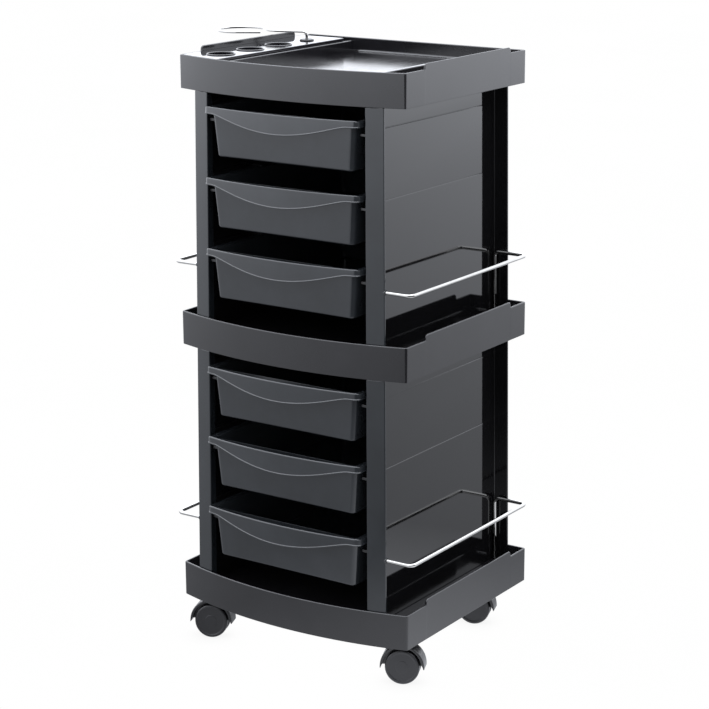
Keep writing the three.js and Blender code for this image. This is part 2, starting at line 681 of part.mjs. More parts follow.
/** C-shaped runner beside a drawer, in the drawer's own heights. */
function runner(side) {
  const outer = WEB_OUTER - WEB_THICKNESS - GAP;
  const plateInner = outer - RUNNER_PLATE;
  const ledgeTop = -RUNNER_LEDGE_TOP;
  const ledgeBottom = ledgeTop - RUNNER_LEDGE_THICKNESS;
  const guideBottom = -RUNNER_GUIDE_BOTTOM;
  const guideTop = guideBottom + RUNNER_GUIDE_THICKNESS;
  const front = RUNNER_PLATE_FRONT;
  const plateX = across(side, plateInner, outer);
  const ledgeX = across(side, RUNNER_INNER, plateInner + 1);
  const noseX = across(side, RUNNER_INNER, POST_INNER - GAP);
  return box(...plateX, front, RUNNER_REAR, ledgeBottom, guideTop)
    .add(box(...ledgeX, front, RUNNER_REAR, ledgeBottom, ledgeTop))
    .add(box(...noseX, RUNNER_FRONT, front + 1, ledgeBottom, ledgeTop))
    .add(box(...ledgeX, RUNNER_GUIDE_FRONT, RUNNER_REAR, guideBottom, guideTop));
}

// ---------------------------------------------------------------- castors
// Each castor is drawn with its axle along Y through the wheel's centre, the stem at
// x = -trail, and then turned about the stem.
const HOOD_SEGMENTS = 14;
const HUB_SEGMENTS = 6;
const PIN_SIDES = 12;

/** Points of an arc about the axle, from startDegrees to endDegrees. */
function arc(radius, startDegrees, endDegrees, segments) {
  return Array.from({ length: segments + 1 }, (_, i) => {
    const degrees = startDegrees + ((endDegrees - startDegrees) * i) / segments;
    const angle = THREE.MathUtils.degToRad(degrees);
    return new THREE.Vector2(radius * Math.cos(angle), radius * Math.sin(angle));
  });
}

/** A round cutter about the axle, from one Y to another. */
function axleCutter(radius, segments, yLow, yHigh) {
  return frontProfile(arc(radius, 0, 360 - 360 / (segments + 1), segments), yLow, yHigh);
}

/** Arched hood over both wheels, with the web between them and the stem's collar. */
function castorHood(trail) {
  const tip = THREE.MathUtils.radToDeg(Math.asin(HOOD_TIP_DROP / HOOD_OUTER_RADIUS));
  const tipInner = THREE.MathUtils.radToDeg(Math.asin(HOOD_TIP_DROP / HOOD_INNER_RADIUS));
  const arch = [
    ...arc(HOOD_OUTER_RADIUS, -tip, 180 + tip, HOOD_SEGMENTS),
    ...arc(HOOD_INNER_RADIUS, 180 + tipInner, -tipInner, HOOD_SEGMENTS),
  ];
  const web = [
    ...arc(HOOD_OUTER_RADIUS - 1, 0, 180, HOOD_SEGMENTS),
    ...arc(AXLE_RADIUS + HOOD_HUB_WALL, 180, 360, HUB_SEGMENTS),
  ];
  const half = HOOD_WEB / 2;
  const wide = 2 * HOOD_HALF_WIDTH;
  const collarFoot = HOOD_INNER_RADIUS - HOOD_COLLAR_OVERLAP;
  const collar = post(-trail, 0, COLLAR_RADIUS, collarFoot, COLLAR_TOP - WHEEL_RADIUS)
    .subtract(axleCutter(HOOD_INNER_RADIUS, WHEEL_SEGMENTS - 1, half, wide))
    .subtract(axleCutter(HOOD_INNER_RADIUS, WHEEL_SEGMENTS - 1, -wide, -half));
  const stemHole = post(
    -trail,
    0,
    STEM_RADIUS + GAP,
    STEM_BOTTOM - GAP - WHEEL_RADIUS,
    COLLAR_TOP + EPSILON - WHEEL_RADIUS,
  );
  return frontProfile(arch, -HOOD_HALF_WIDTH, HOOD_HALF_WIDTH)
    .add(frontProfile(web, -half, half))
    .add(collar)
    .subtract(axleCutter(AXLE_RADIUS + GAP, PIN_SIDES - 1, -half - EPSILON, half + EPSILON))
    .subtract(stemHole)
    .translate([0, 0, WHEEL_RADIUS]);
}

/** Wheel with a closed outer face and a blind hole for the axle. */
function castorWheel(side) {
  const v = (r, w) => new THREE.Vector2(r, w);
  const bore = AXLE_RADIUS + GAP;
  const boreEnd = AXLE_HALF_LENGTH + 2 * GAP;
  const profile = [
    v(0, boreEnd),
    v(bore, boreEnd),
    v(bore, WHEEL_INNER_FACE),
    v(WHEEL_RADIUS - TREAD_INNER_EDGE, WHEEL_INNER_FACE),
    v(WHEEL_RADIUS, WHEEL_INNER_FACE + TREAD_INNER_EDGE),
    v(WHEEL_RADIUS, WHEEL_OUTER_FACE - TREAD_OUTER_EDGE),
    v(WHEEL_RADIUS - TREAD_OUTER_EDGE, WHEEL_OUTER_FACE),
    v(0, WHEEL_OUTER_FACE),
  ];
  const geometry = new THREE.LatheGeometry(profile, WHEEL_SEGMENTS);
  if (side < 0) geometry.rotateX(Math.PI);
  return geometry;
}

// ---------------------------------------------------------------- assembly
const trolley = new THREE.Group();

/** Adds one named part at a place; body is a solid or a three.js geometry. */
function place(parent, name, body, material, x = 0, y = 0, z = 0) {
  const geometry = body.isBufferGeometry ? body : geometryOf(body);
  const mesh = new THREE.Mesh(geometry, material);
  mesh.name = name;
  mesh.position.set(x, y, z);
  parent.add(mesh);
  return mesh;
}

const SIDES = { left: -1, right: 1 };
const BAYS = [
  { name: "upper", below: TRAY_BOTTOMS.middle, above: TRAY_BOTTOMS.top, firstDrawer: 1 },
  { name: "lower", below: TRAY_BOTTOMS.base, above: TRAY_BOTTOMS.middle, firstDrawer: 4 },
];

function addTrays() {
  place(trolley, "base_tray", baseTray(), TRAY_PLASTIC, 0, 0, TRAY_BOTTOMS.base);
  place(trolley, "middle_tray", trayBody(), TRAY_PLASTIC, 0, 0, TRAY_BOTTOMS.middle);
  place(trolley, "top_tray", topTray(), TRAY_PLASTIC, 0, 0, TRAY_BOTTOMS.top);
}

function addAccessories() {
  const stripTop = TRAY_BOTTOMS.top + TRAY_HEIGHT;
  place(trolley, "accessory_strip", accessoryStrip(), STRIP_PLASTIC, 0, 0, stripTop);
  const { x, y } = HOLDER_PIVOT;
  place(trolley, "dryer_holder_socket", holderSocket(), RUNNER_PLASTIC, x, y, stripTop);
  place(trolley, "dryer_holder", dryerHolder(stripTop), CHROME);
}

function addBay(bay) {
  const floor = bay.below + FLOOR_TOP + GAP;
  const height = bay.above - GAP - floor;
  place(trolley, `back_panel_${bay.name}`, backPanel(height), PANEL_PLASTIC, 0, 0, floor);
  for (const [sideName, side] of Object.entries(SIDES)) {
    const tag = `${bay.name}_${sideName}`;
    place(trolley, `front_post_${tag}`, frontPost(side, height), PANEL_PLASTIC, 0, 0, floor);
    place(trolley, `side_panel_${tag}`, sidePanel(side, height), PANEL_PLASTIC, 0, 0, floor);
    place(trolley, `towel_rail_${tag}`, towelRail(side), CHROME, 0, 0, bay.below);
  }
  for (let i = 0; i < DRAWERS_PER_BAY; i += 1) {
    const top = bay.above - TOP_DRAWER_DROP - i * DRAWER_PITCH;
    const number = bay.firstDrawer + i;
    place(trolley, `drawer_${number}`, drawer(), DRAWER_PLASTIC, 0, 0, top);
    place(trolley, `runner_${number}_left`, runner(-1), RUNNER_PLASTIC, 0, 0, top);
    place(trolley, `runner_${number}_right`, runner(1), RUNNER_PLASTIC, 0, 0, top);
  }
}

function addCastor({ name, x, y, azimuth, trail }) {
  const group = new THREE.Group();
  group.position.set(x, y, 0);
  group.rotation.z = THREE.MathUtils.degToRad(azimuth);
  trolley.add(group);
  place(group, `castor_${name}_hood`, castorHood(trail), CASTOR_PLASTIC, trail);
  place(group, `castor_${name}_stem`, post(0, 0, STEM_RADIUS, STEM_BOTTOM, STEM_TOP), STEEL);
  const axle = pinAlongX(-AXLE_HALF_LENGTH, AXLE_HALF_LENGTH, 0, 0, AXLE_RADIUS, PIN_SIDES);
  place(group, `castor_${name}_axle`, axle, STEEL, trail, 0, WHEEL_RADIUS).rotation.z = Math.PI / 2;
  place(group, `castor_${name}_wheel_front`, castorWheel(-1), TYRE, trail, 0, WHEEL_RADIUS);
  place(group, `castor_${name}_wheel_back`, castorWheel(1), TYRE, trail, 0, WHEEL_RADIUS);
}

addTrays();
addAccessories();
BAYS.forEach(addBay);
CASTORS.forEach(addCastor);
trolley.position.set(-MIDDLE_X, -MIDDLE_Y, 0);

const part = new THREE.Group();
part.add(trolley);

export default part;
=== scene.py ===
"""Looks of the salon trolley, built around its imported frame. Metres, +Z up, front towards -Y."""
import math

import bmesh
import bpy
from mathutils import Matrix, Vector


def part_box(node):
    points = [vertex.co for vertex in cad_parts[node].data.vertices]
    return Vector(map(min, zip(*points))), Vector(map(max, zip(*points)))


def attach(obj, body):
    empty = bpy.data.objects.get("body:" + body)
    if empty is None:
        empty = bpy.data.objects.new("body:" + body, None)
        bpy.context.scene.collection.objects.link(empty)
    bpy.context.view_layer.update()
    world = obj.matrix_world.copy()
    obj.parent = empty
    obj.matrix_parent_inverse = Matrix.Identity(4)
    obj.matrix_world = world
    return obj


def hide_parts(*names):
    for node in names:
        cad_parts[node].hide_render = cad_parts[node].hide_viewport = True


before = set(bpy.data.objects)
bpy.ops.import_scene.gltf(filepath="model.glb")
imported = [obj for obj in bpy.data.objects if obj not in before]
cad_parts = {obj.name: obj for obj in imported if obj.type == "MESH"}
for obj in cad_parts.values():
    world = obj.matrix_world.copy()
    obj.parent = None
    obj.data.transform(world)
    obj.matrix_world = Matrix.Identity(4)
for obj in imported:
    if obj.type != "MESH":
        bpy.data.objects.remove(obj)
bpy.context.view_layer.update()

MM = 0.001
ROOT = "trolley_frame"
SHARP_ANGLE = math.radians(38)
WELD = 1e-6


def mm(*lengths):
    """Lengths in millimetres as a list in metres."""
    return [length * MM for length in lengths]


# ---------- sizes read from the frame
# Everything is drawn about the middle of the trays' straight sides, and mesh_object() adds ORIGIN.
SIDE_REACH = 158.5 * MM
middle_low, middle_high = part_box("middle_tray")
ORIGIN = Vector(((middle_low.x + middle_high.x) / 2, middle_high.y - SIDE_REACH, 0))


def box(name):
    """A CAD node's two corners, seen from the middle of the trays."""
    low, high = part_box(name)
    return low - ORIGIN, high - ORIGIN


tray_low, tray_high = box("middle_tray")
TRAY_HALF_WIDTH = tray_high.x
SAGITTA = -tray_low.y - SIDE_REACH
BOW_RADIUS = (TRAY_HALF_WIDTH ** 2 + SAGITTA ** 2) / (2 * SAGITTA)
BOW_CENTRE_Y = BOW_RADIUS - SAGITTA - SIDE_REACH
TRAY_NAMES = ("base_tray", "middle_tray", "top_tray")
BAYS = ("lower", "upper")
SIDES = {"left": -1, "right": 1}
DRAWERS = range(1, 7)
CASTORS = ("front_right", "front_left", "rear_right", "rear_left")


def bow_y(x, proud=0.0):
    """Y of the bowed front at x, moved forwards by proud."""
    return BOW_CENTRE_Y - math.sqrt((BOW_RADIUS + proud) ** 2 - x * x)


# ---------- outlines
def corner_arc(corner, before, after, reach, segments):
    """Points of the arc that touches a corner's two sides, given as directions, at a reach."""
    before, after = before.normalized(), after.normalized()
    half = before.angle(after) / 2
    centre = corner + (before + after).normalized() * (reach / math.cos(half))
    start = corner + before * reach - centre
    end = corner + after * reach - centre
    turn = start.angle(end)
    arc = []
    for t in spread(0, 1, segments):
        blend = math.sin((1 - t) * turn) * start + math.sin(t * turn) * end
        arc.append(centre + blend / math.sin(turn))
    return arc


def rounded(points, radii, segments=4, closed=True):
    """2-D points with each corner replaced by an arc of its radius, or as wide as fits."""
    out = []
    count = len(points)
    for i, point in enumerate(points):
        corner = Vector(point)
        radius = radii[i] if isinstance(radii, list) else radii
        if radius <= 0 or (not closed and i in (0, count - 1)):
            out.append(corner)
            continue
        before = Vector(points[i - 1]) - corner
        after = Vector(points[(i + 1) % count]) - corner
        wide = radius / math.tan(before.angle(after) / 2)
        reach = min(wide, 0.49 * before.length, 0.49 * after.length)
        out += corner_arc(corner, before, after, reach, segments)
    return out


def spread(low, high, count):
    """count + 1 evenly spaced numbers from low to high."""
    return [low + (high - low) * i / count for i in range(count + 1)]


def bowed_plan(half_width, rear, proud, radius, front_radius, bow_steps=44, corner_steps=6,
               side_ys=()):
    """Closed plan outline, anticlockwise from the rear right corner, with a bowed front."""
    front = bow_y(half_width, proud)
    inside = half_width - front_radius
    bow = [Vector((x, bow_y(x, proud))) for x in spread(-inside, inside, bow_steps)]
    side_front = front + 2 * front_radius
    rear_corners = rounded(
        [(half_width, side_front), (half_width, rear), (-half_width, rear),
         (-half_width, side_front)],
        [0, radius, radius, 0], corner_steps, closed=False,
    )[1:-1]
    side = [Vector((-half_width, y)) for y in sorted(side_ys, reverse=True)]
    corner = Vector((-half_width, front))
    side += curve(corner + Vector((0, front_radius)), corner, bow[0], corner_steps)
    return rear_corners + side + bow[1:-1] + [Vector((-p.x, p.y)) for p in reversed(side)]


def curve(start, control, end, steps):
    """Points of a quadratic curve."""
    return [
        start * (1 - t) ** 2 + control * 2 * t * (1 - t) + end * t * t
        for t in spread(0, 1, steps)
    ]


def outward(plan):
    """Unit outward normals of an anticlockwise outline."""
    normals = []
    for i in range(len(plan)):
        tangent = plan[(i + 1) % len(plan)] - plan[i - 1]
        normals.append(Vector((tangent.y, -tangent.x)).normalized())
    return normals


def circle(radius, segments):
    """(x, y) points round a circle about the origin, anticlockwise."""
    angles = spread(0, 2 * math.pi, segments)[:-1]
    return [(radius * math.cos(a), radius * math.sin(a)) for a in angles]


# ---------- meshes
def loft(rings, close_start=True, close_end=True, wrap=False):
    """Quads between successive rings of equal length, with flat caps or wrapped round."""
    count = len(rings[0])
    verts = [tuple(p) for ring in rings for p in ring]
    faces = []
    levels = len(rings) if wrap else len(rings) - 1
    for level in range(levels):
        base = level * count
        following = ((level + 1) % len(rings)) * count
        for i in range(count):
            j = (i + 1) % count
            faces.append((base + i, base + j, following + j, following + i))
    if close_start and not wrap:
        faces.append(tuple(reversed(range(count))))
    if close_end and not wrap:
        faces.append(tuple(range((len(rings) - 1) * count, len(rings) * count)))
    return verts, faces


def lathe(profile, segments, place):
    """Solid of revolution from (radius, z) points that start and end on its axis.

    place(x, y, z) maps a point turned about Z to where it stands.
    """
    rings = [[place(x, y, z) for x, y in circle(radius, segments)] for radius, z in profile]
    return loft(rings, close_start=False, close_end=False)


def standing_at(centre):
    """Places a turned solid upright over a centre."""
    return lambda x, y, z: (x + centre.x, y + centre.y, z)


def bar(section, low, high, bevel, place):
    """A section extruded from low to high with softened ends; place maps (u, v, w) to a point."""
    us = [p[0] for p in section]
    vs = [p[1] for p in section]
    centre = Vector(((min(us) + max(us)) / 2, (min(vs) + max(vs)) / 2))
    size = Vector((max(us) - min(us), max(vs) - min(vs)))

    def ring(w, inset):
        scale = Vector((1 - 2 * inset / size.x, 1 - 2 * inset / size.y))
        return [
            place(centre.x + (p[0] - centre.x) * scale.x, centre.y + (p[1] - centre.y) * scale.y, w)
            for p in section
        ]

    ends = [(0, 1), (0.3, 0.3), (1, 0)]
    rings = [ring(low + bevel * along, bevel * inset) for along, inset in ends]
    rings += [ring(high - bevel * along, bevel * inset) for along, inset in reversed(ends)]
    return loft(rings)


def upright(u, v, w):
    """Stands a bar's length along Z."""
    return (u, v, w)


def along_y(u, v, w):
    """Lays a bar's length along Y, with its section in X and Z."""
    return (u, w, v)


def tube(path, radius, sides=16):
    """A round tube with domed ends along 3-D points."""
    dome_angles = (0.35, 0.8, 1.2)
    steepest = 0.9
    rings = []
    last = len(path) - 1
    side = None
    for i, point in enumerate(path):
        tangent = (path[min(i + 1, last)] - path[max(i - 1, 0)]).normalized()
        if side is None:
            reference = Vector((0.0, 0.0, 1.0) if abs(tangent.z) < steepest else (1.0, 0.0, 0.0))
            side = tangent.cross(reference).normalized()
        side = (side - tangent * side.dot(tangent)).normalized()
        up = tangent.cross(side)
        spokes = [side * x + up * y for x, y in circle(1.0, sides)]
        if i not in (0, last):
            rings.append([point + spoke * radius for spoke in spokes])
            continue
        inward = tangent if i == 0 else -tangent
        dome = []
        for angle in dome_angles:
            middle = point + inward * (radius * (1 - math.cos(angle)))
            dome.append([middle + spoke * (radius * math.sin(angle)) for spoke in spokes])
        rings += dome if i == 0 else reversed(dome)
    return loft(rings)


def bent_path(corners, bend, steps=8):
    """A polyline in space with each inner corner replaced by an arc of radius bend."""
    corners = [Vector(corner) for corner in corners]
    points = [corners[0]]
    for at, last, following in zip(corners[1:], corners, corners[2:]):
        before, after = last - at, following - at
        reach = bend / math.tan(before.angle(after) / 2)
        points += corner_arc(at, before, after, reach, steps)
    return points + [corners[-1]]


def mesh_object(name, verts, faces):
    """An object of closed shells, with doubled points welded and its faces turned outwards."""
    mesh = bpy.data.meshes.new(name)
    mesh.from_pydata([tuple(Vector(v) + ORIGIN) for v in verts], [], faces)
    bm = bmesh.new()
    bm.from_mesh(mesh)
    bmesh.ops.remove_doubles(bm, verts=bm.verts, dist=WELD)
    bmesh.ops.dissolve_degenerate(bm, edges=bm.edges, dist=WELD / 10)
    bmesh.ops.recalc_face_normals(bm, faces=bm.faces)
    bm.to_mesh(mesh)
    bm.free()
    obj = bpy.data.objects.new(name, mesh)
    bpy.context.scene.collection.objects.link(obj)
    return obj


def soften(obj, weight=50):
    """Smooth shading that keeps sharp edges and follows the larger faces."""
    obj.data.shade_smooth()
    obj.data.set_sharp_from_angle(angle=SHARP_ANGLE)
    weighted = obj.modifiers.new("weighted_normals", "WEIGHTED_NORMAL")
    weighted.keep_sharp = True
    weighted.weight = weight


def piece(name, shells, material, body, slot, *replaced):
    """One object from closed shells, riding on a body, that stands in for the replaced nodes."""
    verts, faces = [], []
    for shell_verts, shell_faces in shells:
        base = len(verts)
        verts += shell_verts
        faces += [tuple(base + i for i in face) for face in shell_faces]
    obj = mesh_object(name, verts, faces)
    soften(obj, weight=60)
    obj.data.materials.append(material)
    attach(obj, body)
    if replaced:
        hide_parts(*replaced)
    return obj


# ---------- materials
PLASTIC_IOR = 1.53
WORN_EDGE = 0.6 * MM


def node_material(name):
    """A new material, its node tree and its Principled shader."""
    material = bpy.data.materials.new(name)
    material.use_nodes = True
    tree = material.node_tree
    return material, tree, tree.nodes["Principled BSDF"]


def feed(tree, socket, value):
    """Sets an input to a value, or links it to another node's output."""
    if isinstance(value, bpy.types.NodeSocket):
        tree.links.new(value, socket)
    else:
        socket.default_value = value


def add_node(tree, kind, **inputs):
    """A new node with some of its inputs fed; From_Min stands for the input "From Min"."""
    node = tree.nodes.new("ShaderNode" + kind)
    for key, value in inputs.items():
        feed(tree, node.inputs[key.replace("_", " ")], value)
    return node


def math_node(tree, operation, *values, kind="Math", output="Value"):
    """An output of a Math or VectorMath node, from sockets or constants."""
    node = add_node(tree, kind)
    node.operation = operation
    for socket, value in zip(node.inputs, values):
        feed(tree, socket, value)
    return node.outputs[output]


def noise(tree, scale, detail=3.0, roughness=0.55):
    """Noise fixed to the object, with scale features to the metre."""
    place = add_node(tree, "TexCoord").outputs["Object"]
    node = add_node(tree, "TexNoise", Vector=place, Scale=scale, Detail=detail, Roughness=roughness)
    return node.outputs["Fac"]


def remap(tree, value, low, high, start=0.3, stop=0.7):
    """Maps start..stop to low..high, and holds the ends."""
    node = add_node(
        tree, "MapRange", Value=value, From_Min=start, From_Max=stop, To_Min=low, To_Max=high,
    )
    return node.outputs["Result"]


def mixed_colour(tree, factor, first, second):
    """A blend of two colours, each a triple or a socket."""
    node = tree.nodes.new("ShaderNodeMix")
    node.data_type = "RGBA"
    feed(tree, node.inputs["Factor"], factor)
    for key, colour in (("A", first), ("B", second)):
        feed(tree, node.inputs[key], (*colour, 1) if isinstance(colour, tuple) else colour)
    return node.outputs["Result"]


def edge_mask(tree, radius):
    """About 1 on flat faces and falling on edges, from how a rounded normal differs."""
    bevel = add_node(tree, "Bevel", Radius=radius)
    bevel.samples = 4
    normals = (bevel.outputs["Normal"], add_node(tree, "NewGeometry").outputs["Normal"])
    return math_node(tree, "DOT_PRODUCT", *normals, kind="VectorMath")


def bump(tree, shader, heights, strength, distance):
    """Very small relief under a shader."""
    node = add_node(tree, "Bump", Height=heights, Strength=strength, Distance=distance)
    feed(tree, shader.inputs["Normal"], node.outputs["Normal"])


def moulded_plastic(name, colour, roughness, gloss_spread, orange_peel):
    """Injection-moulded plastic: faint mottling, flow-dulled patches, pale worn edges, orange peel."""
    material, tree, shader = node_material(name)
    mottling = noise(tree, 14.0, 4.0)
    light = tuple(c * 1.22 for c in colour)
    dark = tuple(c * 0.82 for c in colour)
    worn = tuple(c * 1.8 + 0.006 for c in colour)
    base = mixed_colour(tree, remap(tree, mottling, 0, 1), dark, light)
    wear = remap(tree, edge_mask(tree, WORN_EDGE), 0.4, 0.0, 0.7, 0.95)
    feed(tree, shader.inputs["Base Color"], mixed_colour(tree, wear, base, worn))
    patches = noise(tree, 38.0, 5.0, 0.6)
    glossiest = max(roughness - gloss_spread, 0.02)
    rough = remap(tree, patches, glossiest, roughness + gloss_spread)
    feed(tree, shader.inputs["Roughness"], rough)
    feed(tree, shader.inputs["IOR"], PLASTIC_IOR)
    bump(tree, shader, noise(tree, 900.0, 2.0), orange_peel, 0.00006)
    return material


def chrome(name):
    """Bright chrome plate with a very slight smear and drawing marks."""
    material, tree, shader = node_material(name)
    smear = noise(tree, 60.0, 4.0)
    tint = mixed_colour(tree, remap(tree, smear, 0, 1), (0.38, 0.375, 0.36), (0.44, 0.435, 0.42))
    feed(tree, shader.inputs["Base Color"], tint)
    feed(tree, shader.inputs["Roughness"], remap(tree, smear, 0.04, 0.11))
    feed(tree, shader.inputs["Metallic"], 1.0)
    bump(tree, shader, noise(tree, 500.0, 2.0), 0.04, 0.00004)
    return material


def plated_steel(name):
    """Zinc-plated steel with a brushed grain."""
    material, tree, shader = node_material(name)
    grain = noise(tree, 240.0, 3.0)
    tint = mixed_colour(tree, remap(tree, grain, 0, 1), (0.36, 0.37, 0.38), (0.52, 0.52, 0.53))
    feed(tree, shader.inputs["Base Color"], tint)
    feed(tree, shader.inputs["Roughness"], remap(tree, grain, 0.25, 0.42))
    feed(tree, shader.inputs["Metallic"], 1.0)
    bump(tree, shader, grain, 0.15, 0.00005)
    return material


TRAY_PLASTIC = moulded_plastic("tray_plastic", (0.015, 0.015, 0.018), 0.14, 0.03, 0.04)
PANEL_PLASTIC = moulded_plastic("panel_plastic", (0.006, 0.006, 0.007), 0.05, 0.015, 0.015)
POST_PLASTIC = moulded_plastic("post_plastic", (0.019, 0.023, 0.028), 0.12, 0.03, 0.04)
DRAWER_PLASTIC = moulded_plastic("drawer_plastic", (0.026, 0.030, 0.036), 0.15, 0.03, 0.04)
STRIP_PLASTIC = moulded_plastic("strip_plastic", (0.009, 0.009, 0.013), 0.05, 0.015, 0.02)
RUNNER_PLASTIC = moulded_plastic("runner_plastic", (0.006, 0.006, 0.007), 0.42, 0.06, 0.12)
CASTOR_PLASTIC = moulded_plastic("castor_plastic", (0.007, 0.007, 0.008), 0.34, 0.05, 0.12)
WHEEL_PLASTIC = moulded_plastic("wheel_plastic", (0.008, 0.008, 0.010), 0.38, 0.06, 0.18)
CHROME = chrome("chrome_wire")
STEEL = plated_steel("plated_steel")

# ---------- trays
WALL = 3 * MM
TRAY_LOW_RIM = 49.7 * MM
FLOOR_TOP = 28.5 * MM
FLOOR_UNDERSIDE = 25.5 * MM
RIM_RISE = tray_high.z - tray_low.z - TRAY_LOW_RIM
RISE_FRONT = -110 * MM
RISE_REAR = 115 * MM
TRAY_CORNER = 3 * MM
TRAY_DRAFT = 0.8 * MM
FLOOR_FILLET = 3.5 * MM
FIT_GAP = 0.3 * MM
STRIP_SEAT_DROP = 6.4 * MM
STRIP_LEDGES = (mm(-121, -113.5), mm(-198.4, -193.4))
SHELF_RIB = mm(113.5, 121)
SHELF_RIB_TOP = 38.2 * MM
BOSS_RADIUS = 11 * MM


def rim_profile():
    """(y, height) along a side rim: low at both ends, raised between two rounded steps."""
    high = TRAY_LOW_RIM + RIM_RISE
    lean = 0.5 * MM
    front_end = -SIDE_REACH + 8 * MM
    rear_end = SIDE_REACH - 7 * MM
    corners = [
        (front_end, TRAY_LOW_RIM), (RISE_FRONT - lean, TRAY_LOW_RIM), (RISE_FRONT, high),
        (RISE_REAR, high), (RISE_REAR + lean, TRAY_LOW_RIM), (rear_end, TRAY_LOW_RIM),
    ]
    return rounded(corners, mm(0, 1, 5, 5, 1, 0), 5, closed=False)


def tray_shell(name):
    """One closed shell: underside, skirt, outer wall, rounded rim, inner wall and floor."""
    low, _ = box(name)
    rim = rim_profile()
    heights = {round(y, 6): height for y, height in rim}
    side_ys = [y for y, _ in rim]

    def plan(inset):
        radius = max(TRAY_CORNER - inset, 1 * MM)
        return bowed_plan(
            TRAY_HALF_WIDTH - inset, SIDE_REACH - inset, -inset, radius, radius, side_ys=side_ys
        )

    rims = []
    for point in plan(0):
        on_side = abs(abs(point.x) - TRAY_HALF_WIDTH) < WELD
        rims.append(heights.get(round(point.y, 6), TRAY_LOW_RIM) if on_side else TRAY_LOW_RIM)

    def ring(inset, height):
        return [(p.x, p.y, low.z + height) for p in plan(inset)]

    def rim_ring(inset, rise):
        return [(p.x, p.y, low.z + rise + r) for p, r in zip(plan(inset), rims)]

    rings = [
        ring(WALL + 2 * MM, FLOOR_UNDERSIDE),
        ring(WALL + 0.6 * MM, FLOOR_UNDERSIDE - 0.6 * MM),
        ring(WALL, FLOOR_UNDERSIDE - 2 * MM),
        ring(WALL - 0.2 * MM, 0.6 * MM),
        ring(WALL - 0.8 * MM, 0),
        ring(TRAY_DRAFT + 0.7 * MM, 0),
        ring(TRAY_DRAFT + 0.2 * MM, 0.2 * MM),
        ring(TRAY_DRAFT, 0.8 * MM),
    ]
    crown = WALL / 2
    for t in spread(0, math.pi, 8):
        rings.append(rim_ring(crown - crown * math.cos(t), -crown + crown * math.sin(t)))
    for t in spread(0, math.pi / 2, 4):
        inset = WALL + FLOOR_FILLET * (1 - math.cos(t))
        rings.append(ring(inset, FLOOR_TOP + FLOOR_FILLET * (1 - math.sin(t))))
    return loft(rings)


def rib(span, top, floor_z):
    """A low rib over a span of X on the tray's floor, from the front wall to the rear wall."""
    left, right = span
    sunk = 1 * MM
    section = rounded(
        [(left, floor_z - sunk), (right, floor_z - sunk), (right, top), (left, top)],
        mm(0, 0, 1.6, 1.6),
    )
    front = bow_y((left + right) / 2, -WALL) - sunk
    return bar(section, front, SIDE_REACH - WALL + sunk, 0.5 * MM, along_y)


def stem_boss(castor, floor_z, low_z):
    """Round boss under the base tray that a castor's stem stands in."""
    stem_low, stem_high = box(f"castor_{castor}_stem")
    bore = (stem_high.x - stem_low.x) / 2 + FIT_GAP
    bore_top = stem_high.z + FIT_GAP
    profile = [
        (0, floor_z), (BOSS_RADIUS + 2 * MM, floor_z), (BOSS_RADIUS, floor_z - 2 * MM),
        (BOSS_RADIUS, low_z + 0.6 * MM), (BOSS_RADIUS - 0.6 * MM, low_z), (bore + 0.4 * MM, low_z),
        (bore, low_z + 0.4 * MM), (bore, bore_top), (0, bore_top),
    ]
    return lathe(profile, 32, standing_at((stem_low + stem_high) / 2))


def build_trays():
    for name in TRAY_NAMES:
        low, _ = box(name)
        shells = [tray_shell(name)]
        floor_z = low.z + FLOOR_TOP
        if name == "top_tray":
            seat = box("accessory_strip")[1].z - STRIP_SEAT_DROP
            shells += [rib(span, seat, floor_z) for span in STRIP_LEDGES]
            shells.append(rib(SHELF_RIB, low.z + SHELF_RIB_TOP, floor_z))
        if name == "base_tray":
            boss_top = low.z + FLOOR_UNDERSIDE + 0.2 * MM
            shells += [stem_boss(castor, boss_top, low.z + 0.3 * MM) for castor in CASTORS]
        piece(name + "_shell", shells, TRAY_PLASTIC, ROOT, "tray_plastic", name)


# ---------- posts and panels
POST_INNER = 140 * MM
POST_OUTER = 167.7 * MM
POST_THICKNESS = 3.2 * MM
TINE_INNER = 144.7 * MM
TINE_REAR = -152 * MM
RAIL_RADIUS = 2.8 * MM
SOCKET_RADIUS = 4.1 * MM
SOCKET_ENDS = mm(158, 168.4)
SOCKET_BOTTOM = 163 * MM
PANEL_FACE = 151 * MM
PANEL_FLANGE = 3.2 * MM
FLANGE_NOTCH = 9 * MM
GROOVE_DROPS = mm(134, 32)
GROOVE_HALF_WIDTH = 0.9 * MM
GROOVE_DEPTH = 0.5 * MM
BACK_BORDER = 14 * MM
BACK_SUNK = 0.8 * MM


